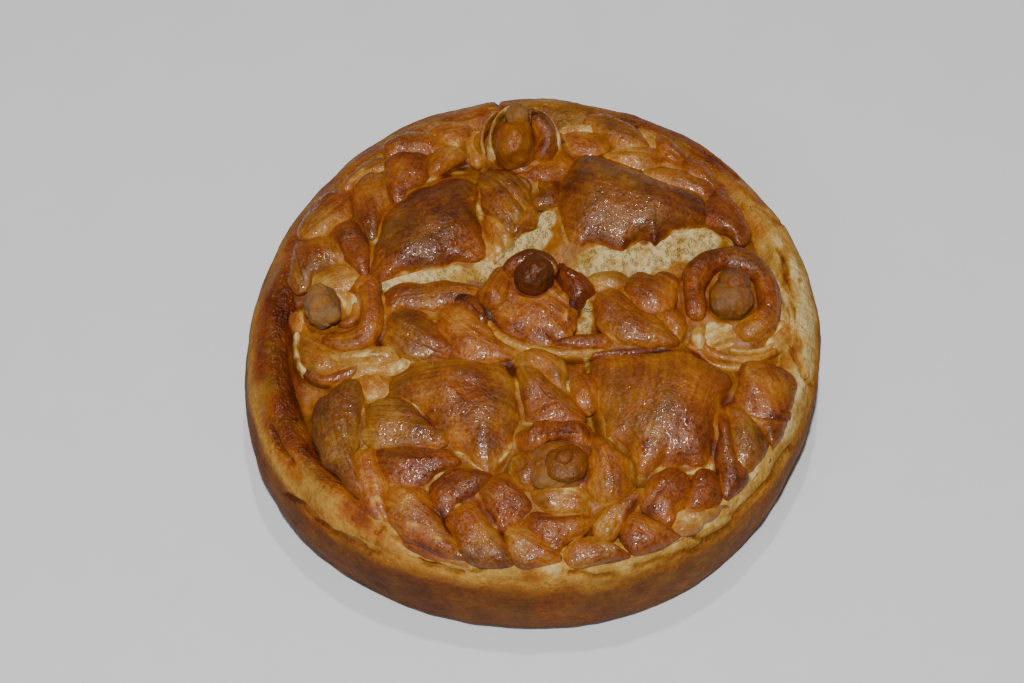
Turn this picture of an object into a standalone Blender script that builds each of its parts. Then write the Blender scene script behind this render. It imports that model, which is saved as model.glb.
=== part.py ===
"""A round festive loaf, baked in a round tin: four plaits in a ring near its edge, four plaited arms that
cross in the middle, and a rosette with a button of dough at each end of the cross and at its centre.

Lengths in this file are millimetres until they go into a mesh, which is in metres. The origin is the middle
of the underside, +Z is up, and the arms of the cross run along X and Y.
"""
import math

import bmesh
import bpy
from mathutils import Vector

MM = 0.001

# ---- Driving dimensions, millimetres ---------------------------------------------------------------------
LOAF_RADIUS = 120.0            # half of a 24 cm tin
WALL_TURNS = 40                # facets round the loaf
GAP = 0.45                     # air between two pieces that touch
CROWN_HEIGHT = 45.0            # height of the loaf's own surface, under the trimmings, at the middle
EDGE_FLOOR = 39.5              # and where the ring of plaits lies
EDGE_FLOOR_RADIUS = 100.0      # how far out that is
RIM_HEIGHT = 43.0              # crest of the bare rim outside the plaits
# The loaf isn't quite round: cosine waves round its edge, as (waves in a turn, share of the radius, crest).
OUTLINE_WAVES = ((2, 0.0220, 64.0), (3, 0.0087, 90.0), (4, 0.0094, 26.0), (5, 0.0026, -1.0))
# Side of the loaf from the underside up to the rim, as (distance inside the tin's radius, height).
SIDE_PROFILE = ((6.0, 0.0), (2.0, 3.0), (0.0, 20.0), (1.0, 32.0), (5.0, 40.0), (11.0, RIM_HEIGHT))
FLOOR_INSET = 19.0             # the plaits lie inside a circle this much smaller than the tin
TOP_RINGS = 8                  # rings of facets from there to the middle
TOP_RING_STEP = 11.75          # and their spacing

# The dough swells up between the plaits in four domes: middle x and y, half width and half depth, turn in
# degrees, rise above the loaf's surface.
DOMES = {
    "north_west": (-41.0, 46.0, 27.0, 25.0, 10.0, 12.0),
    "north_east": (38.0, 54.0, 30.0, 24.0, -20.0, 13.0),
    "south_west": (-32.0, -45.0, 26.0, 25.0, -20.0, 12.0),
    "south_east": (45.0, -47.0, 28.0, 27.0, 25.0, 12.0),
}
DOME_SQUARENESS = 2.6
DOME_FULLNESS = 0.55

# Each plait shows as lobes of its strands. A lobe runs from x, y to x, y, and has a width, and a bend, which
# is how far its middle bows to the left of its run.
LOBE_RISE = 9.5                # a lobe's top over the loaf's surface
LOBE_DEPTH = 0.42              # half height of a lobe's section over its width
LOBE_TUCK = 0.9                # how far a strand's lobe goes on under its neighbours
PLAITS = {
    "ring_plait_north_west": (
        (-82, 46, -94, 20, 17, 0), (-87, 28, -68, 20, 13, 2), (-76, 53, -68, 23, 13, 2),
        (-71, 70, -92, 50, 19, -2), (-61, 79, -63, 41, 14, 0), (-55, 84, -79, 68, 13, 2),
        (-45, 88, -53, 60, 17, 0), (-33, 94, -58, 88, 14, -3), (-25, 91, -36, 73, 14, 0),
        (-17, 101, -39, 97, 13, -1), (-19, 93, -12, 77, 10, 0)),
    "ring_plait_north_east": (
        (19, 91, 39, 84, 14, 1), (16, 97, 33, 97, 9, 0), (33, 98, 57, 85, 16, 3), (37, 79, 60, 76, 13, 2),
        (55, 86, 66, 77, 11, 1), (52, 69, 81, 56, 13, 2), (60, 79, 71, 69, 11, 1), (70, 76, 82, 59, 11, 2),
        (66, 55, 91, 41, 15, 2)),
    "ring_plait_south": (
        (-80, -29, -73, -77, 19, -5), (-71, -41, -40, -63, 20, 3), (-67, -63, -34, -70, 15, 2),
        (-70, -58, -64, -85, 11, -1), (-58, -75, -40, -103, 20, -3), (-45, -88, -17, -73, 14, 3),
        (-37, -84, -19, -107, 17, -2), (-30, -81, -10, -93, 15, 2), (-20, -97, 0, -108, 13, -1),
        (-12, -93, 15, -99, 11, 1),
        (4, -103, 28, -105, 13, -1), (31, -85, 18, -101, 11, 0), (27, -94, 50, -104, 15, 1),
        (55, -78, 37, -93, 15, -2), (66, -76, 55, -93, 12, -1), (49, -95, 73, -90, 11, -1),
        (72, -59, 70, -88, 12, 1), (77, -49, 82, -76, 15, 2), (86, -29, 88, -57, 19, 2),
        (101, -49, 85, -68, 11, 1), (95, -22, 98, -46, 11, 1)),
    "cross_plait_west": (
        (-57, 5, -37, -19, 17, 0), (-37, 3, -14, -20, 17, 1), (-53, 8, -26, 11, 11, 2),
        (-61, 6, -42, 15, 9, 1), (-31, 5, -19, -8, 9, 0), (-28, 11, -17, 8, 9, 0)),
    "cross_plait_east": (
        (28, 8, 56, -19, 17, 0), (37, 12, 55, -5, 14, 2), (21, 11, 39, 10, 9, 2), (57, -1, 57, -17, 9, 0),
        (14, -13, 40, -17, 12, 0)),
    "cross_plait_north": (
        (-15, 70, -3, 39, 17, -2), (3, 66, 22, 77, 14, 1), (-17, 49, -8, 27, 11, 0), (4, 55, -2, 39, 9, 0)),
    "cross_plait_south": (
        (-7, -22, 9, -39, 13, 1), (-9, -30, 17, -55, 17, 0), (13, -31, 18, -49, 11, 0)),
}

# Under the lobes that show, the third strand of each plait runs on the loaf: in an arc round the ring's own
# middle, from angle to angle, or straight from x, y to x, y.
RING_MIDDLE = (4.8, -2.4)
RING_RADIUS = 88.0
RING_STRANDS = {
    "ring_plait_north_west": (100.0, 160.0),
    "ring_plait_north_east": (31.0, 76.0),
    "ring_plait_south": (205.0, 338.0),
}
CROSS_STRANDS = {
    "cross_plait_west": ((-60.0, 1.0), (-16.0, 1.0)),
    "cross_plait_east": ((20.0, -4.0), (60.0, -4.0)),
    "cross_plait_north": ((-8.0, 30.0), (8.0, 74.0)),
    "cross_plait_south": ((-1.0, -24.0), (10.0, -52.0)),
}
STRAND_HALF_WIDTH = 9.0
STRAND_HALF_HEIGHT = 5.0
STRAND_RISE = 5.0

# A rosette is a rolled ring with petals round it: middle x and y, radius to the middle of the roll, half
# thickness of the roll, and its petals as lobes. The last number of a petal is its rise.
ROSETTES = {
    "rosette_west": ((-77.0, 4.0), 11.0, 6.0, (
        (-95, 1, -62, -15, 11, -9, 9), (-69, 21, -61, -7, 12, 2, 11), (-95, 17, -94, -5, 10, -1, 10))),
    "rosette_centre": ((2.0, 7.0), 11.5, 6.5, (
        (-10, 18, 13, 18, 10, 6, 16), (13, 13, 25, 7, 10, 1, 12), (-19, 11, -11, 20, 9, 1, 12))),
    "rosette_east": ((80.5, 7.0), 15.5, 5.8, ((62, -12, 102, -10, 11, -6, 8),)),
    "rosette_north": ((3.0, 90.0), 8.0, 7.0, (
        (-8, 82, -5, 103, 9, 3, 12), (14, 81, 13, 102, 10, -3, 14), (-8, 78, 13, 79, 13, -2, 13))),
    "rosette_south": ((5.0, -70.0), 10.0, 6.0, (
        (-10, -61, -9, -83, 15, -3, 11), (22, -59, 20, -88, 16, 3, 13), (-7, -84, 16, -86, 13, -2, 11),
        (-3, -56, 18, -57, 10, 2, 12))),
}
ROLL_RISE = 5.5                # middle of a rosette's roll over the loaf's surface

# Buttons of dough that sit in the rosettes: stacked balls as x, y, z of the middle and the three radii.
BUTTONS = {
    "button_west": ((-85.0, 9.0, 55.0, 7.0, 8.0, 7.0),),
    "button_centre": ((1.5, 13.0, 58.5, 7.5, 7.5, 8.5),),
    "button_east": ((80.0, 5.0, 52.0, 9.0, 9.5, 8.0),),
    "button_north": ((0.5, 95.0, 57.5, 6.5, 6.5, 6.0),),
    "button_south": ((5.0, -70.0, 52.0, 11.0, 10.5, 6.0), (6.5, -68.0, 57.0, 5.5, 5.5, 4.5)),
}

LOBE_TURNS, LOBE_RINGS = 7, 5
ROLL_TURNS, ROLL_FACETS = 12, 6
BALL_TURNS, BALL_RINGS = 10, 6
STRAND_STEPS, STRAND_FACETS = 6, 5
FLAT_ANGLE = math.radians(1.5)     # faces that turn less than this become one
SHARP_ANGLE = math.radians(50.0)
SEAM = 0.01                    # corners closer than this are one corner


# ---- Finishes --------------------------------------------------------------------------------------------
def finish(name, colour, roughness):
    material = bpy.data.materials.new(name)
    material.use_nodes = True
    shader = material.node_tree.nodes["Principled BSDF"]
    shader.inputs["Base Color"].default_value = (*colour, 1.0)
    shader.inputs["Roughness"].default_value = roughness
    shader.inputs["Metallic"].default_value = 0.0
    return material


# ---- The loaf's own surface ------------------------------------------------------------------------------
def outline_share(angle):
    """How far out the loaf's edge lies at an angle, over the radius of the tin."""
    return 1.0 + sum(share * math.cos(waves * (angle - math.radians(crest)))
                     for waves, share, crest in OUTLINE_WAVES)


def dome_rise(x, y):
    """Height of the four domes over the surface: a superellipse in plan, round in section."""
    rise = 0.0
    for middle_x, middle_y, half_width, half_depth, turn, height in DOMES.values():
        cosine, sine = math.cos(math.radians(turn)), math.sin(math.radians(turn))
        along = ((x - middle_x) * cosine + (y - middle_y) * sine) / half_width
        across = ((y - middle_y) * cosine - (x - middle_x) * sine) / half_depth
        inside = 1.0 - abs(along) ** DOME_SQUARENESS - abs(across) ** DOME_SQUARENESS
        if inside > 0.0:
            rise = max(rise, height * inside ** DOME_FULLNESS)
    return rise


def crumb_height(x, y):
    """Height of the shallow crown that the plaits and rosettes lie on."""
    return CROWN_HEIGHT - (CROWN_HEIGHT - EDGE_FLOOR) * (math.hypot(x, y) / EDGE_FLOOR_RADIUS) ** 2


def build_loaf(name, lift=0.0):
    """The loaf as one turned skin: up its side, over the rim, down to the crown and in over the domes.
    With a lift its top is that much higher, and it cuts the pieces that lie on it."""
    mesh = bmesh.new()
    rows = [(LOAF_RADIUS - inset + lift, height + lift if height > 0.0 else height - lift)
            for inset, height in SIDE_PROFILE]
    rows += [(LOAF_RADIUS - FLOOR_INSET - ring * TOP_RING_STEP, None) for ring in range(TOP_RINGS)]
    grid = []
    for radius, side_height in rows:
        points = []
        for turn in range(WALL_TURNS):
            angle = 2.0 * math.pi * turn / WALL_TURNS
            reach = radius * outline_share(angle)
            x, y = reach * math.cos(angle), reach * math.sin(angle)
            on_top = crumb_height(x, y) + dome_rise(x, y) + lift
            points.append(mesh.verts.new(Vector((x, y, on_top if side_height is None else side_height)) * MM))
        grid.append(points)
    for lower, upper in zip(grid, grid[1:]):
        for turn in range(WALL_TURNS):
            following = (turn + 1) % WALL_TURNS
            mesh.faces.new((lower[turn], lower[following], upper[following], upper[turn]))
    crown = mesh.verts.new(Vector((0.0, 0.0, CROWN_HEIGHT + lift)) * MM)
    for turn in range(WALL_TURNS):
        mesh.faces.new((grid[-1][turn], grid[-1][(turn + 1) % WALL_TURNS], crown))
    mesh.faces.new(list(reversed(grid[0])))
    return add_object(name, mesh)


# ---- Pieces of dough -------------------------------------------------------------------------------------
def add_object(name, mesh):
    """Make an object of a mesh. Its faces become triangles, so that each cut follows them exactly."""
    bmesh.ops.recalc_face_normals(mesh, faces=mesh.faces)
    if mesh.calc_volume(signed=True) < 0.0:
        bmesh.ops.reverse_faces(mesh, faces=mesh.faces)
    bmesh.ops.triangulate(mesh, faces=mesh.faces)
    data = bpy.data.meshes.new(name)
    mesh.to_mesh(data)
    mesh.free()
    data.shade_smooth()
    data.set_sharp_from_angle(angle=SHARP_ANGLE)
    item = bpy.data.objects.new(name, data)
    bpy.context.scene.collection.objects.link(item)
    return item


def as_guide(item):
    item.hide_render = True
    item.display_type = "WIRE"
    return item


def build_ball(name, middle, radii, grown=0.0):
    """A ball of dough with three radii."""
    mesh = bmesh.new()
    bmesh.ops.create_uvsphere(mesh, u_segments=BALL_TURNS, v_segments=BALL_RINGS, radius=1.0)
    for vertex in mesh.verts:
        vertex.co = Vector([m + c * (r + grown) for m, c, r in zip(middle, vertex.co, radii)]) * MM
    return add_object(name, mesh)


def build_lobe(name, lobe, rise, grown=0.0):
    """A lobe of a strand: a long ball whose poles are its two ends, bowed to one side."""
    start_x, start_y, end_x, end_y, width, bend = lobe
    start, end = Vector((start_x, start_y)), Vector((end_x, end_y))
    run = (end - start).normalized()
    side = Vector((-run.y, run.x))
    middle = (start + end) / 2.0
    half_length = (end - start).length / 2.0 + grown
    half_height = LOBE_DEPTH * width
    mesh = bmesh.new()
    bmesh.ops.create_uvsphere(mesh, u_segments=LOBE_TURNS, v_segments=LOBE_RINGS, radius=1.0)
    for vertex in mesh.verts:
        along = vertex.co.z
        sideways = vertex.co.x * (width / 2.0 + grown) + bend * (1.0 - along * along)
        place = middle + run * (along * half_length) + side * sideways
        height = crumb_height(place.x, place.y) + rise - half_height + vertex.co.y * (half_height + grown)
        vertex.co = Vector((place.x, place.y, height)) * MM
    return add_object(name, mesh)


def strand_route(name):
    """Middle line of the strand that a plait's lobes lie on."""
    if name in RING_STRANDS:
        first, last = (math.radians(angle) for angle in RING_STRANDS[name])
        angles = [first + (last - first) * step / STRAND_STEPS for step in range(STRAND_STEPS + 1)]
        return [Vector((RING_MIDDLE[0] + RING_RADIUS * math.cos(angle),
                        RING_MIDDLE[1] + RING_RADIUS * math.sin(angle))) for angle in angles]
    start, end = (Vector(point) for point in CROSS_STRANDS[name])
    return [start.lerp(end, step / STRAND_STEPS) for step in range(STRAND_STEPS + 1)]


def build_strand(name, route):
    """The strand under the lobes: an ellipse carried along its route, with flat ends."""
    mesh = bmesh.new()
    rings = []
    for index, place in enumerate(route):
        run = (route[min(index + 1, STRAND_STEPS)] - route[max(index - 1, 0)]).normalized()
        side = Vector((-run.y, run.x))
        ring = []
        for facet in range(STRAND_FACETS):
            step = 2.0 * math.pi * (facet + 0.5) / STRAND_FACETS
            point = place + side * (STRAND_HALF_WIDTH * math.cos(step))
            height = crumb_height(*place) + STRAND_RISE + STRAND_HALF_HEIGHT * (math.sin(step) - 1.0)
            ring.append(mesh.verts.new(Vector((point.x, point.y, height)) * MM))
        rings.append(ring)
    for lower, upper in zip(rings, rings[1:]):
        for facet in range(STRAND_FACETS):
            following = (facet + 1) % STRAND_FACETS
            mesh.faces.new((lower[facet], lower[following], upper[following], upper[facet]))
    mesh.faces.new(rings[0])
    mesh.faces.new(rings[-1])
    return add_object(name, mesh)


def build_roll(name, centre, radius, half_thickness, grown=0.0):
    """A rosette's rolled ring: a circle carried round a circle."""
    mesh = bmesh.new()
    base = crumb_height(*centre) + ROLL_RISE
    half_thickness += grown
    section = [mesh.verts.new(Vector((centre[0] + radius + half_thickness * math.cos(step), centre[1],
                                      base + half_thickness * math.sin(step))) * MM)
               for step in (2.0 * math.pi * facet / ROLL_FACETS for facet in range(ROLL_FACETS))]
    edges = [mesh.edges.new((a, b)) for a, b in zip(section, section[1:] + section[:1])]
    bmesh.ops.spin(mesh, geom=section + edges, cent=Vector((*centre, base)) * MM, axis=(0.0, 0.0, 1.0),
                   angle=2.0 * math.pi, steps=ROLL_TURNS, use_merge=True)
    bmesh.ops.remove_doubles(mesh, verts=mesh.verts, dist=SEAM * MM)
    return add_object(name, mesh)


def gather(label, guides):
    """Put guide shapes in a collection of their own."""
    group = bpy.data.collections.new(label)
    bpy.context.scene.collection.children.link(group)
    for guide in guides:
        bpy.context.scene.collection.objects.unlink(guide)
        group.objects.link(as_guide(guide))
    return group


def combine(item, operation, group):
    """Leave a Boolean on a piece that joins it to a collection of guides, or cuts them out of it."""
    modifier = item.modifiers.new(group.name, "BOOLEAN")
    modifier.operation = operation
    modifier.operand_type = "COLLECTION"
    modifier.collection = group
    modifier.solver = "EXACT"


def merge_flat_faces(item):
    """Join faces that lie nearly in one plane."""
    modifier = item.modifiers.new("flat_faces", "DECIMATE")
    modifier.decimate_type = "DISSOLVE"
    modifier.angle_limit = FLAT_ANGLE


def cut_by_loaf(item, cutter):
    modifier = item.modifiers.new("loaf", "BOOLEAN")
    modifier.operation = "DIFFERENCE"
    modifier.object = cutter
    modifier.solver = "EXACT"


def main():
    for old in list(bpy.data.objects):
        bpy.data.objects.remove(old, do_unlink=True)

    crust = finish("baked_crust", (0.50, 0.24, 0.07), 0.50)
    washed = finish("egg_washed_crust", (0.40, 0.13, 0.02), 0.30)
    matt = finish("matt_button_crust", (0.25, 0.12, 0.06), 0.60)

    loaf = build_loaf("loaf")
    loaf.data.materials.append(crust)
    lifted = as_guide(build_loaf("loaf_cutter", lift=GAP))

    clearances = []
    for name, (centre, radius, half_thickness, petals) in ROSETTES.items():
        clearances.append(build_roll(f"{name}_room", centre, radius, half_thickness, grown=GAP))
        clearances += [build_lobe(f"{name}_room_{number}", petal[:6], petal[6], grown=GAP)
                       for number, petal in enumerate(petals)]
    rosette_room = gather("rosette_room", clearances)

    for name, lobes in PLAITS.items():
        pieces = [build_lobe(name if number == 0 else f"{name}_lobe_{number}", lobe, LOBE_RISE, LOBE_TUCK)
                  for number, lobe in enumerate(lobes)]
        pieces.append(build_strand(f"{name}_strand", strand_route(name)))
        pieces[0].data.materials.append(washed)
        combine(pieces[0], "UNION", gather(f"{name}_strands", pieces[1:]))
        combine(pieces[0], "DIFFERENCE", rosette_room)
        cut_by_loaf(pieces[0], lifted)
        merge_flat_faces(pieces[0])

    for name, (centre, radius, half_thickness, petals) in ROSETTES.items():
        roll = build_roll(name, centre, radius, half_thickness)
        roll.data.materials.append(washed)
        leaves = [build_lobe(f"{name}_petal_{number}", petal[:6], petal[6])
                  for number, petal in enumerate(petals)]
        combine(roll, "UNION", gather(f"{name}_petals", leaves))
        cut_by_loaf(roll, lifted)

    for name, balls in BUTTONS.items():
        pieces = [build_ball(name if number == 0 else f"{name}_top", ball[:3], ball[3:])
                  for number, ball in enumerate(balls)]
        pieces[0].data.materials.append(matt)
        if pieces[1:]:
            combine(pieces[0], "UNION", gather(f"{name}_stack", pieces[1:]))
        seats = [build_ball(f"{name}_seat_{number}", ball[:3], ball[3:], grown=GAP)
                 for number, ball in enumerate(balls)]
        cut_by_loaf(pieces[0], lifted)
        rosette = bpy.data.objects[name.replace("button", "rosette")]
        combine(rosette, "DIFFERENCE", gather(f"{name}_seat", seats))
        merge_flat_faces(rosette)


main()
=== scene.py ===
import math

import bpy
import numpy as np
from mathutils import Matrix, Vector


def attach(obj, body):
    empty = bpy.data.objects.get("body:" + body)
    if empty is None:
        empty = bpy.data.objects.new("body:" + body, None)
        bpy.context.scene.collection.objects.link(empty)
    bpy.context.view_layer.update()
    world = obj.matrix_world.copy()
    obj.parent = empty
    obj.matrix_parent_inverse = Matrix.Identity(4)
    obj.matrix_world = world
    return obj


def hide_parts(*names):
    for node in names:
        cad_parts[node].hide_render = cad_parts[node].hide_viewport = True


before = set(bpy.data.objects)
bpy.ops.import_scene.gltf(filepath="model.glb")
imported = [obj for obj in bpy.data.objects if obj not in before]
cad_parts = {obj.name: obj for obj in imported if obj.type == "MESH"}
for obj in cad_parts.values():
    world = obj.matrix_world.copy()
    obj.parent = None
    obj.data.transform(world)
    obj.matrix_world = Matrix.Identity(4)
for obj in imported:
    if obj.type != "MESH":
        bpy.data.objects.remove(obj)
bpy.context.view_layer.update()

# The loaf stands on z = 0 round the z axis, and the side nearest the viewer faces -Y. Shapes are worked out
# in millimetres and go into their meshes in metres.
MM = 0.001
TURN = 2.0 * np.pi

# ---- Camera ----------------------------------------------------------------------------------------------
# Where it stands and the point that it looks at, then its lens and the width of its sensor.
CAMERA_AT = (-56.9, -643.7, 1024.9)
CAMERA_AIM = (-7.94, 7.06, 20.0)
CAMERA_LENS = 101.95
CAMERA_SENSOR = 36.0

# ---- The loaf --------------------------------------------------------------------------------------------
CROWN_HEIGHT = 45.0            # the loaf's own surface at its middle
EDGE_FLOOR = 39.5              # and 100 mm out
# Waves of the outline: how many in a turn, their height as a share of the radius, the degrees of a crest.
OUTLINE_WAVES = ((2, 0.0220, 64.0), (3, 0.0087, 90.0), (4, 0.0094, 26.0), (5, 0.0026, -1.0))
# The side from the underside to the inner foot of the rim, as (radius, height).
SIDE_PROFILE = ((60.0, 0.0), (108.0, 0.0), (113.5, 0.4), (116.6, 2.4), (118.0, 7.0), (119.3, 14.0),
                (120.0, 22.0), (119.6, 29.0), (118.0, 35.0), (115.0, 39.6), (111.0, 42.4), (107.0, 43.2),
                (103.0, 42.0), (99.5, 39.0), (97.0, 35.0), (60.0, 32.0))
BED_EDGE = 104.5               # the dough between the plaits ends here, under the rim
BED_UNDERSIDE = 33.0
UNDER_ROWS = 8                 # rows of its grid that close it from below
BED_SINK = 1.4                 # between lobes it lies this far below their softened height
BED_SWELL = 6.5                # and swells up no further than this
LIP = 4.2                      # the lip of a dome stands this far over it
NORTH_SLOPE = 14.0             # it slopes up to the two northern domes over this width
SOUTH_SLOPE = 5.0              # and to the two southern ones over this
DRAWN_FROM = 109.0             # from this radius out, what lies on top is drawn in
DRAWN_ROOM = 5.0               # and ends less than this further out

# Relief of baked dough, as heights and sizes. Folds and wrinkles have their sizes along the strand, across it
# and between strands.
LUMP_HEIGHT, LUMP_SIZE = 0.55, 9.0
FOLD_HEIGHT, FOLD_SIZE = 0.45, (22.0, 4.6, 1.0)
WRINKLE_HEIGHT, WRINKLE_SIZE = 0.14, (15.0, 2.0, 1.0)
BLISTER_HEIGHT, BLISTER_SIZE = 0.10, 2.8

# A pillow's skin leans, in radians, from below its widest line, where it tucks in under its neighbours, to
# its nearly level top.
LEAN_BELOW, LEAN_NEAR_TOP, LEAN_TOP = 2.15, 0.30, 0.012
TUCK_IN = 0.25                 # for a radian below its widest line it draws in by this share of its reach
TUCK_DOWN = 9.0                # and goes down this far
SHOULDER_RISE = 4.2            # its widest line lies this far over the loaf's surface
SHOULDER_SHARE = 0.45          # or at this share of its height, if that is lower
WALL_LENGTH = 8.0              # its rows are spaced as if its flank were this much longer than it is wide
LINE_SHORTER = 1.05            # its middle line ends this many half widths before its ends
SHORTEST_LINE = 3.0            # and has rows for at least this length
END_DROP = 0.22                # its ends lie lower than its middle by this share of its height
END_TILT, SIDE_TILT = 0.05, 0.07   # it slopes at random by up to this much along and across
ROUNDING_PARTS = (96, 48, 24, 16)  # its top is rounder than its outline, evened out over these parts of it
EDGE_WANDER, EDGE_LUMP = 0.7, 5.5  # its outline wanders this far, in lumps of this size
EDGE_SEEDS = (61, 62)
STRANDS_APART = 3.7            # between two pieces, so that their grain differs
# The domes are fuller, smoother pillows, set closer to their neighbours.
DOME_FULLNESS = (0.97, 1.3)
DOME_WRINKLE = 0.25
DOME_OVERLAP = 0.3
DOME_SPACING = 0.8
DOME_GRAIN = 0.5
# A roll's section is an oval, a little square, and its rows lie closer at its ends.
ROLL_POWER = 0.9
ROLL_SWELL = 0.10
ROLL_WRINKLE = 1.1
CLOSER_AT_ENDS = 0.35
# A ball swells by a share of its radii in broad and in narrow lumps, and has a fine grain of this height.
BALL_SWELL, BALL_DENT, BALL_GRAIN = 0.11, 0.06, 0.16

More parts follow.
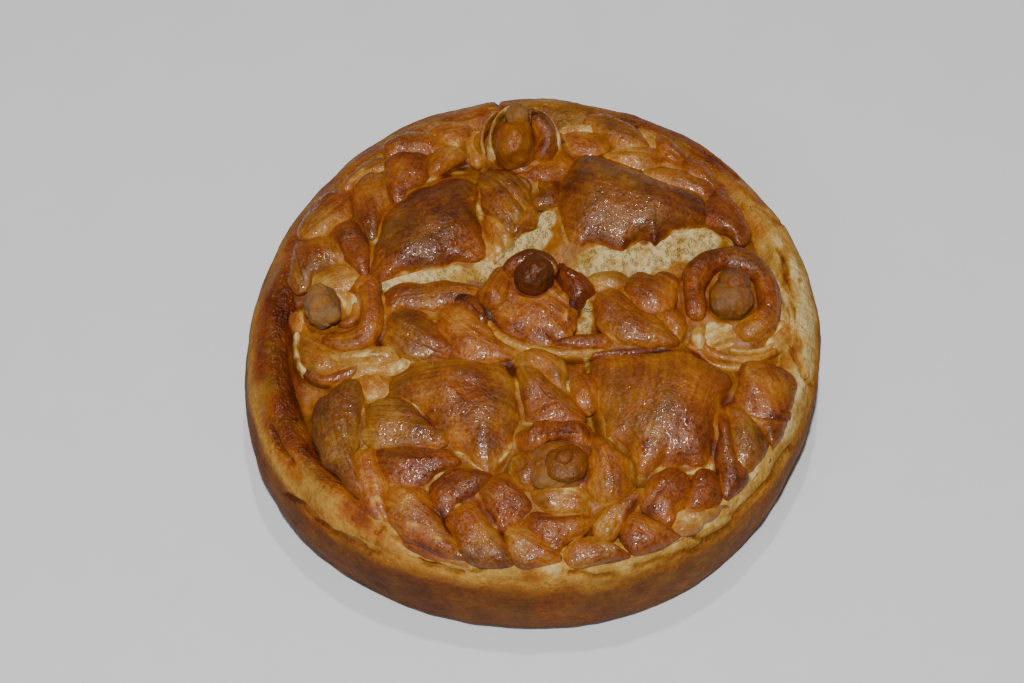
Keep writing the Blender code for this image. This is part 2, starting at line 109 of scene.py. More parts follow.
# Lobes and folds of dough as pillows. Each is the height of its top over the loaf's surface, how far it is
# baked, its tone from 0, olive brown, to 1, red brown, the direction of its grain in degrees, how deep it is
# wrinkled, how pale it is, and its outline in plan.
PILLOWS = {
    "ring_plait_south": (
        (9.5, 0.62, 0.15, -79, 0.5, 0, ((-89.5, -37), (-90, -43), (-90.7, -48), (-88.7, -54),
         (-86.3, -60.3), (-82.3, -65.3), (-78.5, -69), (-75.5, -72.7), (-72.5, -78), (-69.5, -79),
         (-71, -74), (-73, -69), (-75.3, -63), (-75.5, -58), (-73.5, -53), (-73, -46), (-71.5, -39),
         (-70.3, -32), (-71, -26.5), (-75, -24), (-80, -25.2), (-84, -29), (-87.5, -33))),
        (8.8, 0.50, 0.75, -75, 0.9, 0, ((-75, -57), (-71, -55.5), (-67.5, -55), (-66, -58), (-65, -63),
         (-64.3, -68), (-63, -73), (-62.7, -78), (-62.7, -83), (-62, -87), (-66, -87), (-70, -84.5),
         (-73, -80.5), (-74, -76), (-74.5, -70), (-76, -64))),
        (10.0, 0.54, 0.30, -14, 0.9, 0, ((-69, -40.5), (-70, -45), (-71.5, -50), (-69.5, -53.5), (-66, -56),
         (-60, -56.7), (-54, -57.7), (-49, -58.5), (-43, -59), (-39, -57), (-39.5, -53), (-43, -49),
         (-47, -44), (-51, -39), (-57, -35), (-63, -34.5), (-67, -37))),
        (9.6, 0.66, 0.55, -8, 0.8, 0, ((-66, -57), (-65.5, -62), (-64.3, -68), (-62.7, -72.5), (-59, -74.5),
         (-54, -75.2), (-49.5, -74.5), (-46, -73), (-43, -70.5), (-39, -68.5), (-35, -67.3), (-34, -65.5),
         (-37, -62.5), (-40, -60), (-46, -58.3), (-53, -57.4), (-60, -56.6))),
        (9.8, 0.50, 0.55, -36, 1.2, 0, ((-61.5, -74.5), (-62.8, -79), (-63.3, -84), (-62.3, -88),
         (-60, -92.5), (-57.5, -96.3), (-53.4, -98.7), (-49, -101.7), (-44, -105), (-39, -107), (-34, -107),
         (-33.5, -104), (-37, -100), (-40, -95), (-42.5, -89.5), (-45.5, -85.5), (-46, -80.5), (-48, -76.3),
         (-51, -74.3), (-56, -74))),
        (5.2, 0.34, 0.40, -25, 1.0, 0.4, ((-58, -96), (-55, -100), (-48, -105), (-43, -108), (-38, -110),
         (-33, -109), (-35, -105), (-44, -102), (-50, -98))),
        (9.4, 0.68, 0.75, 24, 0.8, 0, ((-46.3, -79), (-45.8, -84), (-43.5, -87.3), (-40.5, -89), (-38, -87),
         (-36, -84), (-33, -82), (-29.5, -80.5), (-26, -78), (-22.5, -75.5), (-21.5, -72.5), (-25, -70.3),
         (-30, -69), (-36, -69), (-41, -71.5), (-45, -74.5))),
        (9.8, 0.54, 0.60, -48, 0.6, 0, ((-40.8, -89.5), (-38.5, -96), (-37, -101), (-36, -105.5),
         (-31, -109), (-25, -110.7), (-19, -110.7), (-15.7, -108.5), (-17, -104.5), (-19.3, -100.5),
         (-20.7, -95.5), (-23.2, -91), (-25.7, -87), (-28, -83.5), (-32.5, -82.5), (-37, -85))),
        (9.8, 0.58, 0.80, -45, 0.7, 0, ((-27.7, -78.5), (-27.3, -83), (-25.3, -87), (-22.8, -91),
         (-20, -96), (-16.5, -96), (-12.5, -94), (-9, -90.3), (-7.7, -86), (-9.7, -82), (-12.3, -77.5),
         (-14.3, -73.2), (-19, -71.7), (-23.5, -74))),
        (8.6, 0.44, 0.50, -30, 0.7, 0.2, ((-17.8, -96.2), (-12.5, -94.3), (-9.3, -96), (-6.7, -99.5),
         (-3.3, -102.7), (0.3, -105.7), (0.7, -109.5), (-5, -111.5), (-11, -111.3), (-15.7, -109),
         (-18.3, -105), (-19.3, -101))),
        (9.2, 0.55, 0.70, 8, 0.7, 0, ((-10, -96.3), (-10.8, -92), (-7.5, -89.3), (-3, -90.5), (3, -92.5),
         (8, -92.5), (12.5, -91.5), (15.7, -94), (13.8, -97.7), (10.7, -100.3), (6.7, -102), (3, -104.3),
         (0, -106.3), (-3, -104.8), (-6.8, -100.8))),
        (8.2, 0.42, 0.60, 0, 0.5, 0.1, ((3.3, -108.5), (5.7, -104.8), (9, -102.2), (12.5, -100.9),
         (16.5, -100.9), (20.2, -102.4), (23.8, -104.8), (26.8, -108), (28.3, -110.5), (25, -112.7),
         (19, -113.2), (12, -113.5), (6.3, -112.5))),
        (9.4, 0.44, 0.55, 55, 0.8, 0, ((37.2, -81.8), (31, -84.2), (26, -86.7), (21, -89.3), (17.8, -92),
         (16.3, -96), (17.3, -100.2), (20.5, -102.5), (23.7, -101.5), (26.8, -97.7), (29.8, -93.2),
         (33.2, -88.2), (37.2, -84.5))),
        (9.4, 0.50, 0.60, -22, 0.7, 0, ((28.2, -95.5), (31, -91.8), (35, -92.5), (40, -95.7), (44.7, -97.3),
         (47.2, -100.5), (50.2, -105), (46.7, -108), (41, -109.5), (35, -110), (30, -109), (26.8, -105.2),
         (26.5, -100.5))),
        (10.4, 0.60, 0.85, 48, 0.5, 0, ((34.3, -87.2), (36, -91.2), (39, -94), (41.8, -96.2), (44.4, -97.3),
         (47.3, -95.8), (49.4, -93.8), (51.4, -91.8), (53.2, -88.8), (54.7, -85), (54.6, -81.6),
         (53.2, -77.5), (50.5, -75), (46.8, -74.6), (43.3, -75.6), (40, -78.4), (37.4, -81.8))),
        (10.0, 0.60, 0.90, 68, 0.5, 0, ((55.6, -79.2), (59.2, -75.9), (62.4, -75.1), (65.2, -76),
         (66.7, -79.8), (66.8, -83.5), (65.8, -87), (63.5, -90), (61.3, -92), (58, -93.2), (54.6, -92.9),
         (52.6, -91), (53.3, -87.3), (54.9, -83.3))),
        (8.2, 0.33, 0.45, -4, 1.4, 0.25, ((46, -97.3), (48, -94), (51.8, -91.7), (54.8, -92.5), (58, -93.6),
         (61.8, -91.8), (64.7, -89.8), (66, -90.5), (68.8, -91.9), (72.3, -93.2), (72.6, -95.9),
         (69.9, -98.3), (65.8, -100.2), (61.8, -101.7), (57.8, -102.7), (53.9, -103), (50, -101.7),
         (47.2, -100))),
        (9.6, 0.52, 0.70, -82, 0.4, 0, ((70.2, -50.5), (69.3, -56.5), (69.5, -61), (68, -64.6), (67, -68.5),
         (67, -72.8), (67, -76.3), (66.4, -80), (67.3, -83.5), (68.5, -86.2), (71.5, -87.3), (74.4, -86.4),
         (76.6, -83.8), (78, -80.3), (77.8, -77), (76.4, -74), (74.8, -71.5), (74.3, -68.3), (73.7, -64.4),
         (73.4, -60.6), (73, -56), (73, -51))),
        (9.6, 0.48, 0.35, -72, 0.6, 0, ((72.4, -50), (73, -54.4), (73.3, -59.7), (73.7, -64.3), (74, -68.8),
         (74.8, -72.8), (76, -75.3), (78.5, -75.3), (81.4, -74), (84.2, -71.6), (86.3, -68.7),
         (87.3, -65.3), (87, -62), (85.3, -58.8), (83.8, -56), (82, -54), (80, -51), (78.5, -46.5),
         (75, -45.5), (72.8, -47))),
        (9.8, 0.50, 0.60, -75, 0.4, 0, ((82.5, -27.5), (87, -26.3), (92, -28), (97, -30), (101, -34),
         (102.5, -39), (102, -44), (99.5, -48.5), (96.8, -51.7), (94, -54), (90, -55.3), (86.5, -54.6),
         (83, -52.6), (79.3, -49), (77.7, -44), (79, -39), (81.2, -34))),
        (8.0, 0.42, 0.60, 30, 1.3, 0.15, ((80.6, -52.6), (84, -54.5), (87, -59), (89, -64.5), (92, -67.7),
         (95.7, -66.5), (98.8, -63.2), (101.3, -59), (102, -55), (100.7, -50.8), (97, -50.6), (94, -53),
         (89, -54), (85, -53.5))),
    ),
    "ring_plait_north_west": (
        (9.2, 0.54, 0.50, 98, 0.6, 0, ((-89, 46.7), (-85.5, 48.3), (-81.5, 48), (-77.8, 45.2), (-75.3, 40),
         (-74.3, 35.5), (-78, 33.3), (-83, 30.8), (-87.5, 28.3), (-89, 25), (-91, 22), (-94.5, 21),
         (-96.7, 25), (-97.2, 32), (-96, 40), (-93.3, 45.2))),
        (9.6, 0.66, 0.85, -76, 0.5, 0, ((-79.3, 50.7), (-76.5, 53.4), (-73, 54.4), (-69.3, 52.9),
         (-66.7, 48.7), (-65, 43.5), (-64, 37.5), (-65, 30.5), (-66.5, 25), (-69.5, 27), (-73.2, 31.2),
         (-75.8, 36), (-76.8, 41), (-79.3, 45.5))),
        (9.2, 0.52, 0.50, 42, 0.6, 0, ((-68.8, 70.2), (-73, 71.6), (-78, 71.1), (-83.2, 68.3),
         (-87.5, 63.5), (-91.2, 58.7), (-93.3, 53.5), (-91.2, 48.6), (-86, 47.6), (-81, 48.9),
         (-77.2, 53.2), (-73.3, 54.7), (-69.7, 57.3), (-69, 62), (-69.6, 66.5))),
        (10.0, 0.56, 0.30, -82, 0.4, 0, ((-68.9, 71), (-67, 74.6), (-63.6, 77.6), (-60.3, 78.2),
         (-56.8, 77.3), (-55.7, 73.8), (-54.2, 69.5), (-53.7, 64.3), (-53.3, 60.4), (-55.8, 58),
         (-58, 53.6), (-60, 49.1), (-61, 45), (-63, 43), (-64.8, 44.4), (-67.1, 48.9), (-68.7, 52.8),
         (-70.2, 56.3), (-70, 62), (-70, 66.6))),
        (7.6, 0.46, 0.45, 38, 0.7, 0.1, ((-74.7, 71.3), (-72.7, 75.2), (-69.7, 79.7), (-65.7, 84.3),
         (-61.5, 86.6), (-58, 86.8), (-54.3, 84.7), (-54.3, 80.3), (-58, 79.6), (-62, 79), (-66.3, 76),
         (-69.3, 72.5), (-71.5, 70.5))),
        (9.6, 0.60, 0.85, 62, 0.5, 0, ((-55, 85), (-51.5, 87.8), (-47, 88.3), (-42.5, 87.6), (-38.3, 85.2),
         (-36.2, 81), (-37.7, 77.5), (-39.7, 73), (-42.7, 69), (-47, 65.6), (-50.5, 61.6), (-53.5, 61.2),
         (-54.8, 66), (-55.3, 71), (-56.5, 76), (-55.6, 81))),
        (8.4, 0.50, 0.60, 8, 0.5, 0.1, ((-55, 87.7), (-55.3, 92), (-52.7, 96.2), (-48.5, 98.8), (-44, 99.9),
         (-39.5, 99), (-35.3, 96.6), (-30.7, 92.9), (-30.2, 88.8), (-33.5, 86.2), (-38.5, 85.3),
         (-43, 86.8), (-48, 87.5), (-52, 86.4))),
        (8.8, 0.40, 0.55, 50, 0.7, 0.25, ((-34.2, 87.1), (-30.5, 89.8), (-26.5, 89.8), (-23.2, 87.2),
         (-22.2, 84), (-24.8, 82.2), (-28, 79.7), (-31, 76.7), (-34.5, 75.1), (-37.8, 76.2), (-37.8, 80),
         (-36, 83.6))),
        (8.0, 0.42, 0.45, 12, 0.5, 0.15, ((-37.3, 97.5), (-35.2, 101.3), (-30, 103.6), (-25, 103.8),
         (-20.3, 102.2), (-17.7, 98.5), (-18.8, 94.8), (-21.8, 92.2), (-25, 90), (-28.7, 91.7),
         (-32.2, 94.2))),
        (6.8, 0.34, 0.40, -70, 1.2, 0.4, ((-21.2, 93), (-19.7, 97.2), (-17, 99.8), (-13.8, 98.8),
         (-12.5, 94), (-13.5, 88), (-14, 83), (-16.3, 79.2), (-19, 80.2), (-20.8, 84), (-22.2, 88.5))),
        (8.0, 0.34, 0.40, 14, 0.3, 0.1, ((-88.7, 24.5), (-87.7, 29.2), (-83, 32), (-77.5, 34.3),
         (-72.8, 33.2), (-68.7, 29), (-67.2, 25), (-69.7, 21.3), (-73, 17.7), (-78, 18.1), (-83, 20.6),
         (-87.2, 21.8))),
    ),
    "ring_plait_north_east": (
        (8.6, 0.48, 0.70, -12, 0.6, 0.1, ((18.5, 91.7), (23, 93.7), (28, 93.9), (33, 93.4), (36.8, 91.2),
         (39.3, 87), (38.8, 82.8), (35, 80.1), (30, 79.3), (25.3, 80.6), (21.7, 84.8), (19.2, 88.2))),
        (6.6, 0.40, 0.60, -2, 0.6, 0.4, ((16.8, 92.8), (19.8, 96.3), (24, 98.9), (29, 98.9), (33.8, 97.2),
         (35.3, 95), (31, 93.7), (25, 93.5), (20, 92.5))),
        (8.8, 0.52, 0.60, -28, 0.6, 0, ((30.2, 99.5), (33.4, 102.3), (38, 102.8), (43, 101.6), (47.7, 98.3),
         (51.3, 94.2), (54.3, 89.6), (54.8, 85.2), (50.5, 83.6), (45.5, 83.1), (40.7, 84.6), (38.2, 88.8),
         (35.7, 92.8), (32.8, 96))),
        (8.4, 0.40, 0.60, -8, 0.7, 0.1, ((35.7, 79.5), (39.3, 82.4), (43.5, 83.9), (49, 83.9), (54, 84.1),
         (58.7, 82.8), (60.3, 78.5), (59.3, 73.8), (56, 71.1), (51.5, 70.1), (47, 72.1), (42, 74.6),
         (37.8, 76.6))),
        (5.6, 0.34, 0.40, -60, 0.8, 0.4, ((52.3, 95.4), (55, 94), (58.6, 91.4), (60.3, 87), (59.9, 83.7),
         (57.5, 84.2), (54.8, 87.8), (52.7, 92))),
        (7.6, 0.44, 0.60, -40, 1.3, 0.1, ((60.2, 89.8), (64, 88.4), (68.2, 84.8), (71, 81.2), (70.2, 76.8),
         (66.5, 74.7), (63, 77), (60.3, 80), (59.4, 85))),
        (7.4, 0.42, 0.60, -45, 1.6, 0, ((60, 80.5), (63, 78.5), (67, 77), (70.3, 76), (71.4, 72),
         (69, 69.5), (65.5, 70), (62, 72), (59.2, 74.2), (58.7, 77.7))),
        (8.8, 0.46, 0.60, -24, 0.5, 0, ((51.7, 70.3), (56, 72), (61, 72.3), (65, 71.3), (69.7, 69.4),
         (73.8, 66.4), (78, 63.9), (80, 60), (79.3, 56), (75.5, 55), (71, 57.5), (66, 59.5), (61, 61.5),
         (56.7, 64), (52.7, 66.7))),
        (7.6, 0.50, 0.75, -55, 0.6, 0, ((70.3, 75.9), (73, 77), (76.3, 74.3), (79.4, 70.2), (82, 65),
         (83.5, 60.2), (80.5, 59.5), (77.2, 62.6), (73.2, 66.1), (70, 69.2), (69, 72.5))),
        (9.0, 0.56, 0.80, -50, 0.6, 0, ((78.7, 57.5), (82.5, 61), (85.8, 56.8), (88.8, 51.7), (90.6, 47),
         (92.3, 42), (92.8, 37.5), (91.2, 32.7), (88, 31.2), (86.5, 34.7), (84, 37.6), (80, 39.3), (76, 41),
         (73, 44), (74, 50))),
    ),
    "cross_plait_west": (
        (8.4, 0.52, 0.60, 4, 0.5, 0, ((-59.7, 9), (-58.7, 15.3), (-55, 18.4), (-48.7, 19.4), (-41, 18.7),
         (-33, 18.7), (-27, 17), (-22, 16.3), (-19.7, 12), (-21.8, 7.5), (-27, 8.5), (-31, 6.5), (-34.5, 6),
         (-37.5, 5.6), (-42, 5.6), (-46, 5.6), (-50, 7.1), (-54, 7.5), (-57, 6.2))),
        (9.8, 0.58, 0.45, -38, 1.8, 0, ((-60.2, -1), (-59.2, 3.7), (-55.6, 7.4), (-51, 8.1), (-46.8, 6.2),
         (-43.2, 2.8), (-40.2, -1.2), (-37.7, -5.8), (-34.7, -10.8), (-33, -15), (-35.8, -18.4),
         (-42, -19.4), (-48, -18.4), (-54, -16.4), (-59.2, -13.8), (-61.8, -9), (-61.3, -5))),
        (9.4, 0.54, 0.65, -38, 1.0, 0, ((-37.8, 3), (-34.6, 6.4), (-30, 6.4), (-25.8, 3.8), (-21.7, -1.2),
         (-18.7, -5.7), (-14.7, -10.7), (-9.7, -14.7), (-5.7, -17.5), (-10, -19.9), (-16, -20.9),
         (-22, -20.9), (-28, -19.9), (-33.8, -17.3), (-35.4, -12), (-38.3, -6), (-39.8, -1))),
        (8.8, 0.82, 1.00, -42, 0.7, 0, ((-32.5, 11), (-28, 11.6), (-23.7, 10.5), (-20.6, 7.3), (-19.5, 3),
         (-19, -2.3), (-21, -4.4), (-24.4, -0.3), (-27.4, 4.2), (-31.3, 6.8))),
    ),
    "cross_plait_east": (
        (9.8, 0.56, 0.50, -40, 0.5, 0, ((26.7, 8.5), (30.4, 10.4), (34.7, 9.1), (37.8, 6.7), (41.3, 2.3),
         (45.3, -1.7), (49.3, -4.2), (52.3, -7.7), (55.4, -12.3), (57, -15.7), (53.2, -18.4), (46, -18.7),
         (38.8, -17.4), (31.7, -15.4), (27.6, -11.7), (25.6, -7), (25.4, -1), (26, 5))),
        (8.6, 0.42, 0.65, -50, 0.4, 0, ((49.2, -2.8), (53, -1.7), (57.2, -2.2), (60.4, -4.8), (60.9, -9),
         (59.3, -13.2), (57, -15.4), (54.8, -12.5), (52.2, -8.5), (49.7, -5.5))),
        (9.6, 0.50, 0.65, -34, 1.2, 0, ((37.2, 9), (37.7, 13.7), (41, 16.6), (45, 18.1), (49, 16.7),
         (51.5, 15.7), (55, 17.4), (58.3, 15.8), (59.9, 12), (59.1, 7), (58.4, 3), (56.3, -0.8),
         (52.5, -2.9), (48, -2.4), (43.8, -0.4), (40.2, 3.8))),
        (8.0, 0.46, 0.50, -10, 0.6, 0.15, ((22.7, 14), (25.9, 17.4), (31, 18.4), (35.2, 17.4), (38.8, 14.7),
         (39.3, 11.3), (36, 9.6), (31, 10.1), (28, 8.6), (24.8, 9.2))),
        (7.4, 0.64, 0.85, -6, 0.4, 0, ((8, -14), (12.2, -12), (18.3, -11.4), (24, -11.6), (28, -12.4),
         (31, -14.8), (26, -17.5), (20, -17.8), (14, -16.8))),
    ),
    "cross_plait_north": (
        (9.6, 0.52, 0.25, -58, 2.0, 0, ((-16.7, 71), (-13, 73.7), (-8.5, 74.4), (-4, 73.4), (0.2, 70.9),
         (3.3, 66.7), (3.7, 62.5), (2, 58), (1.4, 54), (-0.7, 49.3), (-2.7, 44.8), (-4.8, 41.2),
         (-7.2, 40.6), (-9.3, 43.8), (-11.8, 48.2), (-14.8, 52.8), (-16.7, 58), (-17, 65))),
        (8.8, 0.50, 0.65, 24, 0.5, 0, ((0.7, 70.2), (3.3, 74.3), (6.8, 77.9), (11.5, 80.4), (16, 81.4),
         (21.2, 79.9), (24, 76), (21.3, 71.2), (17.2, 67.6), (12.5, 66.3), (8.5, 67.2), (4.5, 68.5))),
        (8.4, 0.60, 0.45, -70, 0.5, 0, ((8.8, 66.7), (12, 68), (15.3, 67), (15.8, 60), (15.6, 54.7),
         (11.5, 53.4), (7, 53.9), (4.5, 56.4), (6.2, 60.2), (8.2, 62.7))),
        (7.2, 0.32, 0.55, -62, 1.4, 0.35, ((-15.7, 54.5), (-12.3, 51.3), (-9.2, 46.7), (-6.6, 42),
         (-6.2, 38), (-8.7, 33.8), (-11.3, 29.6), (-14, 26.6), (-16.8, 27.8), (-17.9, 33), (-17.4, 39),
         (-16.8, 46))),
        (8.0, 0.50, 0.85, 60, 0.8, 0, ((1.3, 54), (5.2, 54.5), (5.7, 50), (4.3, 46.2), (1, 45.1),
         (-2.7, 42.6), (-5, 40.6), (-3.4, 45.2), (-0.8, 49.8))),
    ),
    "cross_plait_south": (
        (9.0, 0.50, 0.60, -45, 0.8, 0, ((-7.8, -20.3), (-3.5, -17.6), (1, -17.6), (6, -19.6), (10.2, -23.3),
         (11.6, -28), (10.7, -33), (9.2, -37.4), (5.3, -36), (1.8, -32.4), (-1.8, -28.4), (-4.8, -25.4),
         (-8.3, -24.7))),
        (10.0, 0.52, 0.60, -50, 0.8, 0, ((-7.8, -24.7), (-4, -25.6), (-0.2, -29.2), (3.3, -32.7),
         (6.8, -36.4), (10.3, -39.7), (13.4, -43.4), (16, -47), (16.9, -50.5), (13, -53), (8, -52.5),
         (2, -51.5), (-3, -52), (-6.4, -49), (-6.9, -43), (-7.2, -37), (-7.4, -31))),
        (8.4, 0.48, 0.75, -70, 0.5, 0.1, ((14.8, -31), (18.5, -29.2), (21.3, -30.5), (22.4, -36),
         (22.4, -40.5), (21.3, -45.3), (17.9, -47), (13.7, -44.7), (11, -40.7), (11.4, -36.8),
         (12.8, -33.6))),
    ),
    "rosette_west": (
        (9.0, 0.32, 0.30, -30, 0.3, 0, ((-90, -0.5), (-93.3, -4), (-94.3, -9), (-93.6, -14.6),
         (-90.7, -17.6), (-86, -19.4), (-81.4, -18.9), (-77.2, -16.7), (-76.5, -12), (-80.2, -9.8),
         (-83.7, -6.1), (-85.6, -2))),
        (9.0, 0.30, 0.40, -2, 0.8, 0.2, ((-79, -12.3), (-74, -11), (-68, -11.5), (-63, -10), (-58.3, -11),
         (-55.7, -14), (-56.8, -17.5), (-62, -18), (-68, -16.5), (-74, -17.5), (-78.8, -16.7))),
        (6.8, 0.26, 0.50, -8, 0.8, 0.3, ((-75, -18), (-69, -15.7), (-62, -17.6), (-56, -17.6), (-52, -16),
         (-48.3, -18), (-52.8, -21), (-58, -22.6), (-64, -21.6), (-70, -23.2), (-75.4, -22.3))),
        (6.4, 0.34, 0.65, -60, 1.5, 0.3, ((-70.5, -22.5), (-64, -22.3), (-59.6, -25.8), (-58.6, -30),
         (-61.8, -33.6), (-67, -33.6), (-70.5, -29))),
        (8.2, 0.30, 0.30, 80, 1.7, 0.45, ((-79.5, 17.8), (-74, 18.4), (-70.6, 16), (-70, 9), (-70.6, 4.6),
         (-75, 5), (-78.6, 9))),
        (7.4, 0.38, 0.60, 60, 0.6, 0.2, ((-97.4, 10), (-93, 12.5), (-90, 8), (-91, 2.6), (-95.8, 3))),
    ),
    "rosette_centre": (
        (10.6, 0.44, 0.60, -40, 0.9, 0, ((-6.6, 23), (-9.8, 22.8), (-14, 20.4), (-16.5, 17), (-19, 15),
         (-20, 10.5), (-20.5, 6), (-17.7, 3.5), (-15.8, -0.5), (-13.3, -5), (-9.7, -9.3), (-5.3, -12.8),
         (-1, -14.8), (3.8, -15.3), (8.4, -14.2), (12, -12.2), (14.7, -9), (16, -5), (16.4, 0), (15.5, 5),
         (12.5, 12), (9, 20), (3, 24))),
        (12.0, 0.50, 0.60, 60, 1.5, 0, ((-20.7, 6.5), (-20.3, 12), (-17.7, 16.5), (-15, 20), (-12, 22.5),
         (-8, 24.5), (-4.5, 24), (-5, 18), (-8.5, 12), (-9.5, 6), (-14, 2.5), (-18, 3.5))),
        (12.5, 0.66, 0.90, -60, 0.7, 0, ((12, 22.5), (15.4, 18.2), (19.6, 15.8), (23.8, 13.5), (25.9, 8.7),
         (23.3, 5.3), (19.8, 2.8), (17, 1.5), (14, 4.6), (13.2, 9.4), (12.2, 15))),
    ),
    "rosette_east": (
        (6.8, 0.26, 0.30, 20, 1.7, 0.52, ((67.6, -5.6), (72, -4), (78.4, -6.6), (81, -11), (81, -16),
         (76, -19), (70.3, -19), (67.2, -14), (66.6, -9))),
        (6.8, 0.26, 0.30, 80, 1.7, 0.52, ((64, -11.7), (67.6, -11), (68, -15.5), (66.7, -19),
         (64.4, -17.4))),
        (6.2, 0.30, 0.30, 40, 1.7, 0.45, ((90, -16), (95.7, -12.5), (100.6, -6.5), (104.4, -8),
         (104, -14.5), (99.3, -20), (93, -19.6))),
    ),
    "rosette_south": (
        (12.2, 0.46, 0.75, 80, 1.3, 0, ((-10.2, -55.5), (-6.9, -55.2), (-2.6, -51.8), (1.4, -51),
         (5.2, -52.2), (11, -52), (14.9, -52.4), (17.7, -54.6), (19.4, -58.8), (19, -63.3), (15.7, -65),
         (12.3, -64), (8.6, -62), (4, -61.6), (0, -63), (-3.6, -65), (-7.4, -64.8), (-9.9, -63.4),
         (-10.8, -59.6))),
        (11.4, 0.40, 0.60, -70, 0.7, 0, ((-12.7, -66.3), (-10, -64.2), (-5, -63.5), (-1.4, -66), (0, -71),
         (-0.5, -77), (-4, -81), (-9.5, -80.6), (-12.2, -78), (-13.9, -74), (-14.3, -69.7))),
        (13.4, 0.42, 0.60, -84, 0.5, 0, ((19.2, -59.2), (23.5, -60), (26, -63.5), (26.8, -67.6),
         (30.3, -68.8), (33, -73), (33.7, -77.5), (32, -82.2), (29.4, -85.8), (25.7, -88.6), (21.4, -88.8),
         (17.6, -85.7), (14.9, -81.6), (15.4, -76.5), (16.2, -70.5), (17.3, -63.7))),
        (10.8, 0.40, 0.45, -10, 0.6, 0.2, ((-6.8, -81), (-6.2, -84.7), (-4, -88), (-1, -90.7), (2.8, -92.8),
         (7, -93.3), (10.7, -92.6), (12.5, -90.2), (15.4, -87.3), (15.7, -83.6), (12.3, -80.5),
         (4.3, -79.3), (-1, -80))),
    ),
}

